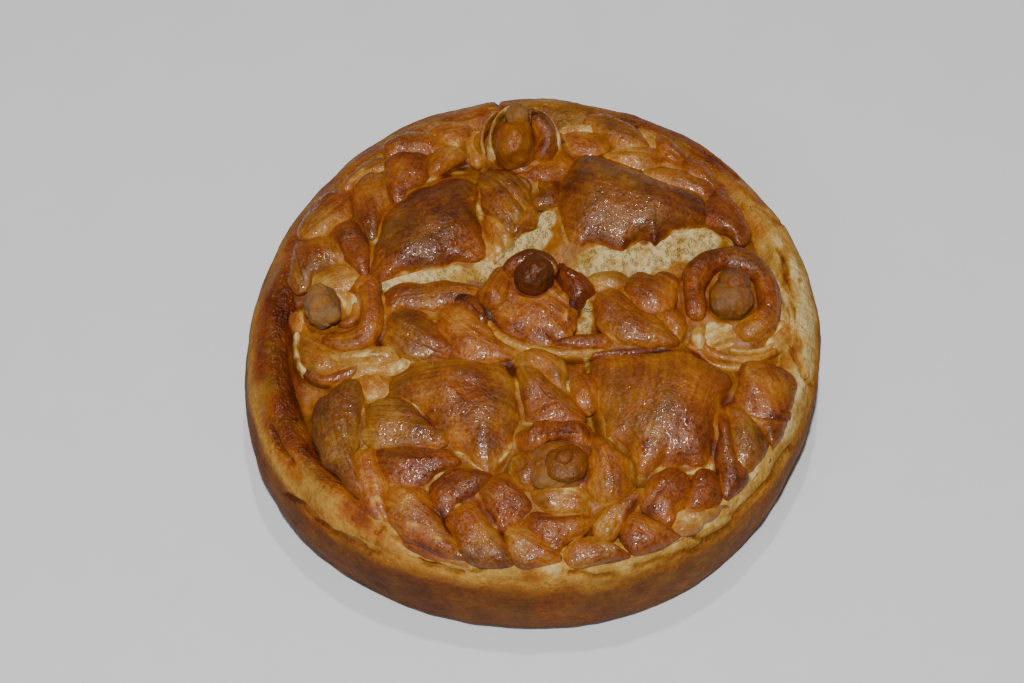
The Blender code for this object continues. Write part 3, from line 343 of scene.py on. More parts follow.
# Rolls and thin folds of dough. Each runs along a path of x, y, height of its top over the loaf's surface,
# half width and half height. Then bake, tone and how pale it is.
ROLLS = {
    "rosette_west": (
        (((-70.5, 17, 9, 4, 5), (-66, 19.5, 10.5, 5.5, 6), (-65, 11, 11, 5.6, 6.5),
          (-65.3, 2.5, 11, 5.6, 6.5), (-68, -4.5, 10.5, 5.9, 6.5), (-75, -6.3, 9.5, 5.9, 6),
          (-81.5, -4.7, 8.5, 5, 5.5), (-85, -1.5, 7, 3, 4)), 0.54, 0.7, 0.1),
        (((-79, 3, 8, 2.6, 4), (-74, 2.5, 9, 3, 4), (-71.5, 6, 9, 2.4, 4),
          (-71.5, 12, 8.5, 2, 4)), 0.46, 0.8, 0.2),
        (((-93.5, -12.5, 5.5, 2.2, 3.5), (-91, -18.5, 6.2, 2.6, 3.5), (-85, -21.3, 6.4, 2.8, 3.5),
          (-79, -21, 6.4, 2.8, 3.5), (-73, -18.8, 6.2, 2.6, 3.5), (-68.5, -15.5, 6, 2, 3.5)), 0.52, 0.6, 0),
        (((-95.3, 2, 6.4, 1.4, 4), (-96, -5, 7, 1.4, 4), (-95.4, -13, 7, 1.4, 4),
          (-92.3, -18.3, 6.4, 1.3, 4)), 0.28, 0.1, 0.8),
    ),
    "rosette_centre": (
        (((-8, 14.5, 13, 4, 7), (-6.5, 19.5, 15.5, 4.2, 8), (0.5, 22, 17.5, 4.4, 9),
          (7.5, 19.5, 15.5, 4.2, 8), (9.7, 14.5, 12.5, 3, 6)), 0.62, 0.5, 0),
        (((15.3, 4.5, 10, 2.6, 4), (17.7, 0, 9.6, 2.8, 4)), 0.85, 1.0, 0),
        (((-19, -1, 5.6, 2.2, 4), (-15.5, -7.5, 6.6, 2.9, 4), (-9.5, -12.6, 7, 3, 4), (-3, -16, 7, 3, 4),
          (4, -18, 6.6, 2.7, 4), (12, -19.3, 6.4, 2.4, 4), (20, -19.3, 6, 2.1, 4),
          (28, -18.8, 5.4, 1.8, 4)), 0.38, 0.4, 0),
        (((21, -20.6, 5.4, 1.8, 4), (30, -20.4, 6.2, 2, 4), (42, -20.4, 6.2, 2, 4),
          (52, -19.4, 5.2, 1.6, 4)), 0.66, 1.0, 0),
    ),
    "rosette_east": (
        (((65.7, -7.5, 9, 4.2, 5), (66.2, 0, 10.5, 4.9, 6), (66.5, 8, 11, 5, 6.5),
          (69, 15.5, 11.2, 5.4, 6.5), (75, 21, 11.5, 5.7, 6.5), (83, 22.5, 11.5, 6, 6.5),
          (90, 19.5, 11.5, 6, 6.5), (94.8, 13, 11.2, 5.6, 6.5), (96.3, 4, 11, 5.2, 6.5),
          (95.4, -3.5, 11, 5.2, 6.5), (91.5, -9.5, 10.5, 5.6, 6), (86, -13, 9.5, 5.2, 5.5),
          (82.3, -16, 8, 3.4, 4)), 0.50, 0.65, 0),
        (((77, -20.3, 6, 1.7, 3.5), (83, -21.7, 6.4, 1.8, 3.5), (89, -21.6, 6.4, 1.8, 3.5),
          (94, -19.4, 6, 1.7, 3.5), (98, -15.8, 5.4, 1.5, 3.5)), 0.28, 0.3, 0.2),
        (((66.5, -17, 6, 1.8, 3.5), (70.5, -21.5, 6, 2.1, 3.5), (77, -24.2, 6, 2.2, 3.5),
          (85, -24.6, 6, 2.2, 3.5), (92, -23, 5.6, 2, 3.5), (97.5, -19.5, 5, 1.6, 3.5)), 0.38, 0.5, 0.1),
        (((60.5, -16.5, 5, 1.8, 3.5), (65.5, -21, 5.2, 2.2, 3.5), (70, -26, 5.2, 2.4, 3.5),
          (77, -28.2, 5.2, 2.4, 3.5), (84, -27.7, 5, 2.2, 3.5), (89, -26, 4.6, 1.8, 3.5)), 0.30, 0.4, 0.2),
        (((97.5, 15, 6.6, 1.6, 4), (102.6, 7, 6.8, 1.7, 4), (104.6, -2, 6.6, 1.7, 4),
          (104.6, -11, 6, 1.7, 4), (103.6, -19, 5, 1.5, 4)), 0.24, 0.2, 0.6),
    ),
    "rosette_north": (
        (((6, 77, 11, 4, 6), (11, 80.5, 14, 5, 7), (12.8, 86, 17, 5, 8), (10.5, 91, 19, 4.5, 8),
          (6.5, 94, 20, 3.5, 8)), 0.50, 0.7, 0),
        (((-9, 77, 10, 1.4, 6), (-11.2, 82, 13, 1.4, 8), (-10.8, 88, 16.5, 1.3, 9),
          (-8, 93.5, 19.5, 1.2, 9), (-3.5, 97.5, 21, 1.2, 9), (2, 98.8, 21, 1.2, 9)), 0.34, 0.1, 0.7),
        (((17.2, 82, 10, 1.5, 6), (17.3, 88, 13, 1.4, 7), (15.5, 92.5, 16, 1.3, 8), (12, 96, 18, 1.3, 8),
          (7, 98.5, 20, 1.3, 9)), 0.34, 0.2, 0.6),
        (((-13.8, 82, 8, 1.6, 6), (-14.6, 89, 11, 1.5, 7), (-12, 96, 14, 1.4, 7),
          (-7, 100, 17, 1.4, 8)), 0.36, 0.5, 0.3),
        (((-6, 76, 9, 4, 6), (2, 75, 9.5, 4.6, 6), (10, 77.5, 9, 4, 6),
          (16, 82, 8.6, 3.4, 5)), 0.52, 0.8, 0),
    ),
    "rosette_south": (
        (((-4, -64, 9, 5, 6), (4, -62, 9.5, 5, 6), (13, -64, 9.5, 5, 6), (16, -73, 9.5, 5, 6),
          (11, -82, 9, 5, 6), (0, -82, 9, 5, 6), (-6, -74, 9, 5, 6), (-5, -67, 9, 5, 6)), 0.56, 0.7, 0),
    ),
    "ring_plait_south": (
        (((47, -108.5, 1.6, 1.4, 2), (57, -104.5, 2.2, 1.5, 2.5), (68, -99, 2.2, 1.5, 2.5),
          (77, -90.5, 2.2, 1.5, 2.5), (86, -79, 2.4, 1.5, 2.5), (93, -70, 2.2, 1.4, 2)), 0.42, 0.2, 0.2),
        (((36, -111.5, 2, 1.5, 2), (46, -106.6, 3.4, 1.7, 2.5), (53, -105.3, 3.4, 1.6, 2.5),
          (62, -103.6, 2.8, 1.4, 2.5)), 0.36, 0.3, 0.2),
        (((79, -84, 3.4, 2.2, 3), (85, -77, 3.6, 2.4, 3), (90, -70, 3.6, 2.2, 3),
          (94, -64, 3.2, 1.8, 2.5)), 0.32, 0.3, 0.2),
    ),
}

# Buttons, each of one to three balls: x, y, z of the middle, three radii, bake, how floury.
BUTTONS = {
    "button_west": ((-84.5, 8.5, 52.5, 7.2, 9.4, 7.0, 0.46, 0.9),
                    (-85.5, 12.0, 57.0, 4.6, 4.2, 3.4, 0.44, 0.7),
                    (-81.0, 4.0, 54.0, 4.2, 4.6, 4.0, 0.42, 1.0)),
    "button_centre": ((1.5, 13.0, 58.0, 8.0, 7.8, 8.6, 0.84, 0.1),),
    "button_east": ((80.3, 1.5, 49.5, 9.0, 10.0, 7.6, 0.56, 0.5),
                    (82.0, 7.0, 54.0, 6.6, 5.8, 4.6, 0.66, 0.3),
                    (76.5, -2.0, 52.0, 4.8, 5.6, 4.6, 0.56, 0.6)),
    "button_north": ((-1.3, 85.0, 50.0, 9.4, 11.8, 12.0, 0.52, 0.0),
                     (1.0, 94.0, 58.5, 5.0, 5.2, 5.2, 0.46, 0.8)),
    "button_south": ((3.2, -72.0, 49.5, 11.8, 10.8, 6.8, 0.50, 0.5),
                     (7.0, -73.0, 53.6, 8.8, 8.6, 4.0, 0.62, 0.1),
                     (6.5, -72.0, 57.0, 3.6, 3.4, 2.4, 0.60, 0.2)),
}

# The four domes are large pillows: height of the top, bake, tone, direction of the grain, outline.
CAPS = {
    "cap_north_west": (56.5, 0.66, 0.40, 24, ((-61, 21.5), (-64.5, 25.5), (-65, 32), (-63.7, 38),
        (-61.8, 43), (-60, 48.5), (-57.5, 54), (-54, 59.2), (-49, 63.3), (-45.5, 66.7), (-41, 68.7),
        (-36.5, 70.3), (-31, 72), (-25, 71.8), (-20.5, 70.5), (-18, 67.5), (-18, 62), (-18.7, 57),
        (-19.3, 51.5), (-18.5, 46), (-17.2, 40.5), (-15.8, 34), (-16.3, 30.5), (-20, 27), (-25, 27.3),
        (-30, 28), (-33.5, 27.3), (-36, 26), (-41, 25.3), (-47, 25), (-53, 23.3), (-58, 21.7))),
    "cap_north_east": (58.5, 0.64, 0.45, -28, ((17, 35.5), (15.3, 41), (14.6, 48), (14.6, 54), (15, 61),
        (17, 67), (20, 71.5), (23.5, 76.5), (27, 79.8), (31, 79.8), (36, 78), (42, 74.3), (47.5, 71),
        (53, 67), (58, 63.5), (64, 60.3), (70, 58), (75, 54.5), (78, 49), (77.5, 43.5), (74.5, 41),
        (69, 39.5), (64.5, 38), (60, 36), (56, 33), (52.6, 30.6), (49.5, 33), (45.5, 33), (41, 30),
        (37.6, 28), (34, 30), (30.5, 32.7), (26.5, 33.2), (22.5, 32.2), (19.5, 34))),
    "cap_south_west": (56.0, 0.56, 0.55, -12, ((-59.5, -28.5), (-55.5, -23.5), (-49.5, -20), (-42.5, -19),
        (-35, -18.5), (-27, -19.5), (-19.5, -21), (-15, -21.7), (-12, -25), (-10, -30), (-9, -36),
        (-8, -42), (-8, -48), (-9.5, -53), (-12.5, -60), (-15.5, -64.5), (-19, -68), (-23, -71),
        (-26.5, -68.5), (-31, -63.5), (-36, -59), (-40, -55.5), (-43, -50), (-47, -44), (-51, -39.5),
        (-55.5, -36), (-58.5, -32))),
    "cap_south_east": (56.5, 0.56, 0.50, 70, ((22.3, -24), (27, -22.3), (35, -22), (44, -22), (52, -20.5),
        (59, -20.6), (64, -24), (70, -29), (76, -32), (77, -37), (75, -41), (71.5, -43), (70, -49),
        (68.5, -56), (67, -63), (65.3, -68.5), (61.5, -73.5), (57.5, -74), (54, -72.3), (50, -73.3),
        (46, -72.3), (42, -74), (37, -75.5), (34, -73), (32.5, -68), (30.5, -63.5), (27, -60), (24.5, -57),
        (22.8, -51), (22.3, -45), (21.8, -38), (21.6, -31))),
}

# Spots in plan, as x, y, half length, half width, turn in degrees, strength. The pale crumb shows where the
# crust tore as the domes rose: in the wide gaps below the two northern domes, and in narrow places.
WIDE_GAPS = (
    (-42, 21, 24, 6, 5, 1), (-12, 28, 14, 8, 30, 1), (1, 39, 12, 7, 20, 1), (38, 25, 24, 9, 2, 1),
    (66, 33, 19, 8, 12, 1),
)
TORN = WIDE_GAPS + (
    (9.5, 48, 5, 6, 0, 1), (6.3, 65, 2.4, 4, 10, 0.6), (1.5, 57.5, 2.2, 3.2, -30, 0.48),
    (-17.7, 53, 1.4, 8, 8, 0.6), (16.3, 39, 1.6, 8, 5, 0.54), (22.5, 83.5, 5, 2.8, -45, 0.6),
    (28, 97, 4, 1.6, -10, 0.6), (-36.5, 73.2, 5.5, 2, 25, 0.6), (-23, 76.2, 6.5, 1.8, -2, 0.6),
    (-40.5, 1.5, 2.8, 3.6, 0, 0.6), (10.8, 9, 1.6, 9, 0, 0.6), (21, -1.5, 4.2, 9, -8, 0.6),
    (21, -8.5, 7, 2.4, -12, 0.6), (44.5, 1, 6, 1.6, -35, 0.6), (-59.6, 13.5, 1, 4, 0, 0.48),
    (-59.8, 3.5, 1.2, 3.4, -25, 0.6), (-52, -17.8, 4.4, 1.8, -10, 0.6), (-67, -21.7, 3.4, 1, 8, 0.48),
    (-79.5, -23.3, 6.4, 1.5, 22, 0.6), (-86.6, -29, 1.5, 5, -20, 0.6), (-70.5, -41, 1.3, 12, 8, 0.6),
    (-71, -55, 2.4, 1.8, 40, 0.6), (-66.5, -32, 5, 2.4, 45, 0.54), (-58.4, -30, 1.4, 4.4, 20, 0.54),
    (-50.3, -39.8, 2, 2.2, 40, 0.54), (-30, -64.6, 9.5, 1.7, -42, 0.6), (-15.6, -62.6, 6.5, 1.7, 52, 0.6),
    (-8.6, -37, 0.8, 12, 6, 0.48), (-5, -50.6, 3, 2, 0, 0.48), (19.6, -24.5, 1.9, 5, 0, 0.6),
    (12.2, -33, 1.8, 5.4, -8, 0.6), (18.7, -51, 1.7, 7, 10, 0.6), (24.6, -58.6, 1.5, 4, 35, 0.48),
    (35.4, -77.4, 4.6, 2, 28, 0.6), (43.4, -74.6, 4, 1.6, 20, 0.54), (57, -75.6, 6.5, 1.5, 8, 0.6),
    (64.3, -73.8, 2.4, 2.4, 40, 0.54), (74, -37, 3, 4, 0, 0.3), (94.2, -30.5, 2, 3, 25, 0.6),
    (-41, -71, 6.4, 2, 27, 0.6), (-37, -84.8, 3, 1.2, 20, 0.6), (-47.3, -75, 2, 2.6, 30, 0.54),
    (-66, -79.3, 5, 3.4, -20, 0.48), (-52, -93.5, 9, 1.9, -24, 0.54), (-47, -104.6, 6, 1.2, -27, 0.54),
    (-16.5, -96.6, 3.4, 1, 25, 0.54), (6, -104, 7.6, 1.6, 33, 0.6), (1.2, -109.5, 1.4, 3.6, 10, 0.6),
    (48.6, -97, 2, 3, 30, 0.48), (72, -89.6, 4.4, 1.5, -5, 0.6), (83, -78, 11, 3, 55, 0.6),
    (83, -54, 3.4, 1.2, -35, 0.6), (100.8, -57, 1, 7, -8, 0.54), (-10, -86, 2, 1.2, -40, 0.48),
    (-69, 76.3, 5, 1.2, 45, 0.54), (-82, 31.8, 8, 1, 22, 0.42), (-88, 26, 1, 3, 0, 0.42),
    (-61.5, 42, 1.6, 2.4, 20, 0.36), (-79.7, 49, 1.6, 1.6, 0, 0.36), (91.6, 33, 1.4, 4, -10, 0.54),
    (76, 77, 3, 1.5, -20, 0.54), (98, -17, 8, 4, 30, 0.48), (85, 35, 3, 1.6, -20, 0.48),
)
# Where egg wash ran together and browned. The thin line at (5, -93.6), along the foot of the south rosette,
# is a painted shadow of the rosette.
POOLS_AND_PAINTED_SHADOW = (
    (105.5, 19, 2.4, 10, -6, 0.8), (105.5, -19, 3, 5, 0, 0.8), (111, 12, 1.2, 1.6, 0, 1.0),
    (97, 56, 9, 2.5, -45, 0.6), (-89, -61, 5, 11, 30, 0.7), (-99, -30, 5, 22, -8, 0.5),
    (-76, -84, 9, 4, -48, 0.5), (-100, 12, 5, 20, 0, 0.5), (-48, -103, 9, 2.5, -26, 0.6),
    (86, 72, 12, 4, -45, 0.4), (62, 97, 14, 5, -32, 0.4), (-80, 78, 16, 4, 45, 0.3),
    (-23.5, 81.5, 2.8, 3, 0, 0.55), (-30.5, 74.6, 2.4, 1.8, 0, 0.55), (-30, 9.5, 4.5, 1.8, -15, 1),
    (-17.5, 3, 8, 3, -60, 1), (-9, -8.3, 9, 3.4, -38, 1), (4, -12.3, 9, 3.4, 0, 1),
    (13.6, -7.5, 5, 2.8, 50, 0.9), (-10.5, -25.5, 2.2, 5, 20, 1), (17.7, 2, 2, 2.6, 0, 0.5),
    (14.6, 23, 1.6, 4, 35, 1), (38, 31, 9, 2.2, -4, 0.6), (52.6, 33, 6, 2.2, 15, 0.9),
    (88.4, 38, 3.4, 6, 0, 0.6), (78, 44, 9, 3, -12, 0.6), (39.5, -66.5, 2.6, 3, 0, 0.55),
    (66.6, -24, 6, 2.2, -38, 1), (80.5, -30.5, 2.2, 3, 0, 0.5), (74, -45, 3.4, 3.6, 0, 0.8),
    (-76.8, -57.5, 2.6, 2.6, 0, 0.55), (-64.8, -58.5, 1.8, 3.2, 0, 0.55), (-43, -87.8, 4.4, 1.8, -35, 0.9),
    (-34, -82.6, 5, 1.6, 20, 0.7), (-19.5, -99, 1.6, 4.4, 12, 1), (-26, -87, 8, 1.8, -55, 0.7),
    (24.2, -109.4, 2.6, 2.2, 0, 0.5), (39.5, -92, 3.2, 2.4, -30, 0.5), (31, -90.8, 1.6, 5, -35, 0.8),
    (66, -67, 2, 5.4, 0, 0.8), (92, -53.4, 6, 1.6, -4, 0.9), (5, -58.6, 9, 1.6, 0, 0.45),
    (16.5, -58, 2.2, 4, 30, 0.8), (-14, 75.6, 3, 2, 0, 0.5), (-3, 73.6, 8, 1.2, 0, 0.7),
    (9.5, 80.6, 5, 1.4, 35, 0.8), (23, 94, 4.4, 1.1, 5, 0.9), (19.5, 87.6, 1.4, 3, 0, 0.44),
    (15, 63, 2.4, 5, 0, 0.7), (-16, 44, 1.4, 9, 8, 0.5), (-57, -98, 7, 1.4, -32, 0.9),
    (-39, -108, 3, 1.4, -20, 0.44), (77.6, 66, 1.6, 1.8, 0, 0.44), (79.4, 56.6, 2, 2, 0, 0.5),
    # The row below ends with (5, -93.6): a painted shadow under the south rosette.
    (61, 75.2, 2, 1.6, 0, 0.44), (-45, -46.6, 4, 1.4, -50, 0.8), (5, -93.6, 11, 1.2, 2, 0.8),
    (-62.6, -8, 1.6, 4.4, 0, 0.8), (-72, 2.6, 2.4, 1.6, 0, 0.44), (83.5, 18.4, 5, 1, -4, 0.8),
    (71, 0, 1.2, 4, 0, 0.7), (72, -95.5, 3, 2.4, -30, 0.39), (47.5, 99, 6, 1.4, -20, 0.5),
    (40.5, -20.6, 16, 1.2, 0, 0.9), (67, 5, 3, 3, 0, 0.17), (-54, 66, 1.6, 5, 8, 0.7),
    (-50.5, 61, 2.2, 2.2, 0, 0.39), (-70.5, 63, 1, 8, 4, 0.7),
)
# Where the skin stretched and stayed pale.
STRETCHED = (
    (-67, -82, 6, 3.5, -75, 0.7), (-51, -95, 11, 2.6, -32, 0.7), (-60, -86, 3, 5, 0, 0.35),
    (59, -97.5, 12, 2.6, -4, 0.6), (97.5, -58, 3.4, 7, -20, 0.6), (-68, 77, 7, 1.6, 45, 0.6),
    (-11, 43, 3, 5, -60, 0.5), (-12, 33, 3, 3, 0, 0.5), (-84, 30, 8, 1.6, 22, 0.6), (8, -84, 5, 2, 0, 0.6),
    (-6, -52.5, 4, 2, 0, 0.6), (74, -36, 3, 5, 0, 0.4), (-90, -12, 3, 6, 0, 0.35),
    (-70, -14, 9, 2, -3, 0.5), (12.5, 1, 2.4, 8, -4, 0.9), (9.5, 14, 2, 6, -6, 0.7),
    (-12, -104, 5, 2.4, -30, 0.4), (14, -107, 9, 2, 0, 0.45), (38, -104, 8, 2, -10, 0.35),
    (-24, -106, 5, 2.4, 0, 0.3), (20, 89, 3, 3, 0, 0.4), (-28, 101, 6, 2, 0, 0.35),
    (-44, 96, 7, 2, 10, 0.3), (-86, 58, 2, 8, 25, 0.3), (68, 88, 5, 2, -40, 0.4), (-54, 14, 3, 4, 0, 0.3),
    (-32, 3, 4, 2, 40, 0.3), (45, 16, 8, 1.6, -5, 0.3), (-64, -29, 5, 4, 0, 0.5),
)

# ---- The rim ---------------------------------------------------------------------------------------------
# Cracks and folds of the rim, as lines in a plan that is drawn at this height. What lies lower shows nearer
# the viewer by this share of the difference.
PLAN_HEIGHT, PLAN_SHIFT = 44.5, 0.65
CRACKS = (
    ((-103, -74), (-95.5, -78.6), (-89, -87), (-83.7, -91.7), (-77, -97), (-70, -102)),
    ((-65.6, -91.8), (-67, -97), (-67.5, -103)),
    ((-33, -113), (-24, -111), (-20, -109.5)),
    ((104, 2), (106, -3), (103, -14), (103.5, -25.5), (105.5, -30)),
    ((95, 51), (99, 48.5), (103, 44), (108, 41)),
    ((52.5, -103.5), (60, -107), (66, -103), (72, -98.5)),
    ((72, -97), (81.5, -88), (91, -77), (98, -66)),
    ((104, 28), (106, 18), (106.5, 8)),
    ((110, -38), (107, -35), (105, -31)),
    ((30, -116), (44, -113), (58, -109)),
    ((80, 80), (86, 73), (92, 66)),
    ((-5.5, 112), (-5, 117), (-6, 122)),
    ((-108, -42), (-103, -52), (-99, -60)),
    ((-52, -106), (-45, -110), (-36, -113)),
    ((6, -116), (14, -119), (24, -119)),
)
CRACK_DEPTH, CRACK_WIDTH = 1.8, 0.9
CRACK_FADE = (16.0, 26.0)      # they fade out down the wall between these heights
FAR_FROM_CRACKS = 9.0
RIM_ONLY_ABOVE = 20.0          # the underside lies at the same radii as the rim, and has none of its looks
# Round the loaf, by degrees: how deep the rim is folded.
RIM_FOLDS = ((0, 0.9), (40, 0.6), (70, 0.35), (120, 0.3), (180, 0.25), (215, 0.5), (240, 0.8), (290, 0.8),
             (320, 1.0))
# How far it is baked at its inner side, on its crest, at its shoulder and down the wall.
RIM_INNER = ((0, 0.18), (25, 0.42), (50, 0.54), (80, 0.50), (110, 0.50), (150, 0.66), (180, 0.76),
             (200, 0.64), (215, 0.48), (235, 0.28), (260, 0.20), (290, 0.22), (315, 0.26), (340, 0.20))
RIM_CREST = ((0, 0.00), (25, 0.28), (50, 0.62), (80, 0.34), (110, 0.48), (150, 0.60), (180, 0.70),
             (200, 0.56), (215, 0.34), (235, 0.20), (260, 0.14), (290, 0.16), (315, 0.16), (340, 0.02))
SHOULDER = ((0, 0.12), (60, 0.36), (110, 0.40), (150, 0.36), (180, 0.26), (215, 0.28), (250, 0.32),
            (290, 0.32), (330, 0.24))
WALL = ((0, 0.56), (180, 0.62), (230, 0.66), (270, 0.58), (300, 0.56), (330, 0.50))
# How glossy it is, and its tone.
RIM_GLOSS = ((0, 0.35), (50, 0.9), (110, 0.8), (160, 1.0), (200, 1.0), (225, 0.5), (260, 0.15), (320, 0.2))
RIM_TONE = ((0, 0.1), (40, 0.6), (80, 0.3), (120, 0.6), (180, 0.8), (215, 0.6), (240, 0.2), (300, 0.1),
            (340, 0.1))


# ---- Noise and small helpers -----------------------------------------------------------------------------
def smooth_step(low, high, value):
    """0 below low, 1 above high, and 3t^2 - 2t^3 between."""
    part = np.clip((value - low) / (high - low), 0.0, 1.0)
    return part * part * (3.0 - 2.0 * part)


def cell_values(x, y, z, seed):
    """A fixed pseudo-random number from -1 to 1 for each whole cell: its three numbers hashed together."""
    mixed = x * 73856093 ^ y * 19349663 ^ z * 83492791 ^ seed * 40503
    mixed = (mixed ^ (mixed >> 13)) * 1274126177 & 0x7FFFFFFF
    mixed = (mixed ^ (mixed >> 11)) * 668265263 & 0x7FFFFFFF
    return ((mixed >> 7) & 0xFFFF) / 32767.5 - 1.0


def lumps(points, size, seed=0):
    """Smooth noise of one size in millimetres, or one for each axis: the values of the eight cells around a
    point, mixed by a smooth step along each axis."""
    scaled = points / np.asarray(size, float)
    base = np.floor(scaled).astype(np.int64)
    part = scaled - base
    part = part * part * (3.0 - 2.0 * part)
    total = np.zeros(points.shape[:-1])
    for i in (0, 1):
        for j in (0, 1):
            for k in (0, 1):
                weight = (np.abs(1 - i - part[..., 0]) * np.abs(1 - j - part[..., 1])
                          * np.abs(1 - k - part[..., 2]))
                total += weight * cell_values(base[..., 0] + i, base[..., 1] + j, base[..., 2] + k, seed)
    return total


def turned(points, number):
    """Points turned about two axes, so that layers of noise don't line up."""
    angle = 0.6 + 1.1 * number
    c, s = math.cos(angle), math.sin(angle)
    return points @ (np.array([[c, -s, 0.0], [s, c, 0.0], [0.0, 0.0, 1.0]])
                     @ np.array([[1.0, 0.0, 0.0], [0.0, c, -s], [0.0, s, c]]))


def rough(points, size, seed=0, layers=3):
    """Lumps on lumps: each layer half the size and half the height of the last. Round lumps have their
    layers turned, long ones keep to their axes."""
    if np.ndim(size):
        return sum(lumps(points, np.asarray(size) / 2 ** n, seed + 17 * n) / 2 ** n for n in range(layers))
    return sum(lumps(turned(points, n), size / 2 ** n, seed + 17 * n) / 2 ** n for n in range(layers))


def outline_share(angle):
    """How far out the loaf's edge lies at an angle, over the radius of the tin: a sum of cosine waves."""
    waves = (share * np.cos(count * (angle - np.radians(crest))) for count, share, crest in OUTLINE_WAVES)
    return 1.0 + sum(waves)


def crumb_height(x, y):
    """Height of the shallow crown that the trimmings lie on: a parabola over the distance from the middle."""
    return CROWN_HEIGHT - (CROWN_HEIGHT - EDGE_FLOOR) * (x * x + y * y) / 1e4


def spots(x, y, table):
    """The strongest of many soft round or oval spots at each place. A spot is x, y, half length, half width,
    turn in degrees, strength."""
    total = np.zeros(np.shape(x))
    for middle_x, middle_y, half_length, half_width, turn, strength in table:
        cosine, sine = math.cos(math.radians(turn)), math.sin(math.radians(turn))
        along = ((x - middle_x) * cosine + (y - middle_y) * sine) / half_length
        across = ((y - middle_y) * cosine - (x - middle_x) * sine) / half_width
        total = np.maximum(total, strength * (1.0 - smooth_step(0.55, 1.25, np.hypot(along, across))))
    return total


def round_the_clock(angle, table):
    """Value at an angle from pairs of degrees and value, joined smoothly all the way round."""
    degrees = np.array([row[0] for row in table] + [table[0][0] + 360.0])
    values = np.array([row[1] for row in table] + [table[0][1]])
    wrapped = (np.degrees(angle) - degrees[0]) % 360.0 + degrees[0]
    index = np.clip(np.searchsorted(degrees, wrapped, side="right") - 1, 0, len(table) - 1)
    part = (wrapped - degrees[index]) / (degrees[index + 1] - degrees[index])
    part = part * part * (3.0 - 2.0 * part)
    return values[index] * (1.0 - part) + values[index + 1] * part


def catmull_rom(a, b, c, d, t):
    """A smooth span from b to c, as t goes from 0 to 1: the cubic whose slopes there are half of c - a and
    half of d - b."""
    return 0.5 * (2 * b + (c - a) * t + (2 * a - 5 * b + 4 * c - d) * t ** 2
                  + (3 * b - a - 3 * c + d) * t ** 3)


def closed_curve(points, spacing):
    """Evenly spaced points on a smooth closed curve through the given ones, anticlockwise, in Catmull-Rom
    spans."""
    points = np.array(points, float)
    following = np.roll(points, -1, axis=0)
    if np.sum(points[:, 0] * following[:, 1] - points[:, 1] * following[:, 0]) < 0.0:
        points = points[::-1]
    place = np.linspace(0.0, len(points), 24 * len(points) + 1)
    index = place.astype(int)
    corners = (points[(index + step) % len(points)] for step in (-1, 0, 1, 2))
    curve = catmull_rom(*corners, (place - index)[:, None])
    length = np.concatenate([[0.0], np.cumsum(np.linalg.norm(np.diff(curve, axis=0), axis=1))])
    even = np.linspace(0.0, length[-1], int(length[-1] / spacing), endpoint=False)
    return np.stack([np.interp(even, length, curve[:, axis]) for axis in (0, 1)], axis=-1)


def open_curve(points, count):
    """Points on a smooth curve through the given ones: Catmull-Rom spans, with its ends held."""
    points = np.array(points, float)
    place = np.linspace(0.0, len(points) - 1.0, count)
    index = np.minimum(place.astype(int), len(points) - 2)
    corners = (points[np.clip(index + step, 0, len(points) - 1)] for step in (-1, 0, 1, 2))
    return catmull_rom(*corners, (place - index)[:, None])


def line_distance(x, y, start, end):
    """Distance from each place to a straight line between two points."""
    dx, dy = end[0] - start[0], end[1] - start[1]
    share = np.clip(((x - start[0]) * dx + (y - start[1]) * dy) / (dx * dx + dy * dy), 0.0, 1.0)
    return np.hypot(x - start[0] - share * dx, y - start[1] - share * dy)


def outline_distance(x, y, outline):
    """Distance from each place to a closed outline, negative inside it. A place is inside if a line to the
    right of it crosses the outline an odd number of times."""
    edge = closed_curve(outline, 3.0)
    nearest, inside = np.full(np.shape(x), np.inf), np.zeros(np.shape(x), bool)
    for start, end in zip(edge, np.roll(edge, -1, axis=0)):
        nearest = np.minimum(nearest, line_distance(x, y, start, end))
        if start[1] != end[1]:
            crossing = start[0] + (y - start[1]) * (end[0] - start[0]) / (end[1] - start[1])
            inside ^= ((start[1] > y) != (end[1] > y)) & (x < crossing)
    return np.where(inside, -nearest, nearest)


# ---- Skins: grids of points that become meshes -----------------------------------------------------------
def grid_normals(grid):
    """Unit normals of a grid: the cross product of its two directions. The second one is a closed turn."""
    along = np.gradient(grid, axis=0)
    around = np.roll(grid, -1, axis=1) - np.roll(grid, 1, axis=1)
    normal = np.cross(around, along)
    return normal / np.maximum(np.linalg.norm(normal, axis=-1, keepdims=True), 1e-9)


def push_out(grid, distance):
    """Each point moved along its normal by its distance."""
    return grid + grid_normals(grid) * distance[..., None]


def skin(grid, layers):
    """A closed skin from a grid whose second direction is a full turn and whose first one ends in a pole at
    both ends. A pole is the mean of its row."""
    rows, turns = grid.shape[:2]
    index = np.arange(rows * turns).reshape(rows, turns)
    beside = np.roll(index, -1, axis=1)
    quads = np.stack([index[:-1], beside[:-1], beside[1:], index[1:]], axis=-1).reshape(-1, 4)
    first, last = np.full(turns, rows * turns), np.full(turns, rows * turns + 1)
    triangles = np.concatenate([np.stack([first, beside[0], index[0]], axis=-1),
                                np.stack([last, index[-1], beside[-1]], axis=-1)])
    points = [grid.reshape(-1, 3)]
    values = {name: [layer.reshape(rows * turns, -1)] for name, layer in layers.items()}
    for row in (0, -1):
        points.append(grid[row].mean(axis=0)[None])
        for name, layer in layers.items():
            values[name].append(layer[row].reshape(turns, -1).mean(axis=0)[None])
    return {"points": np.concatenate(points), "quads": quads, "triangles": triangles,
            "layers": {name: np.concatenate(layer) for name, layer in values.items()}}


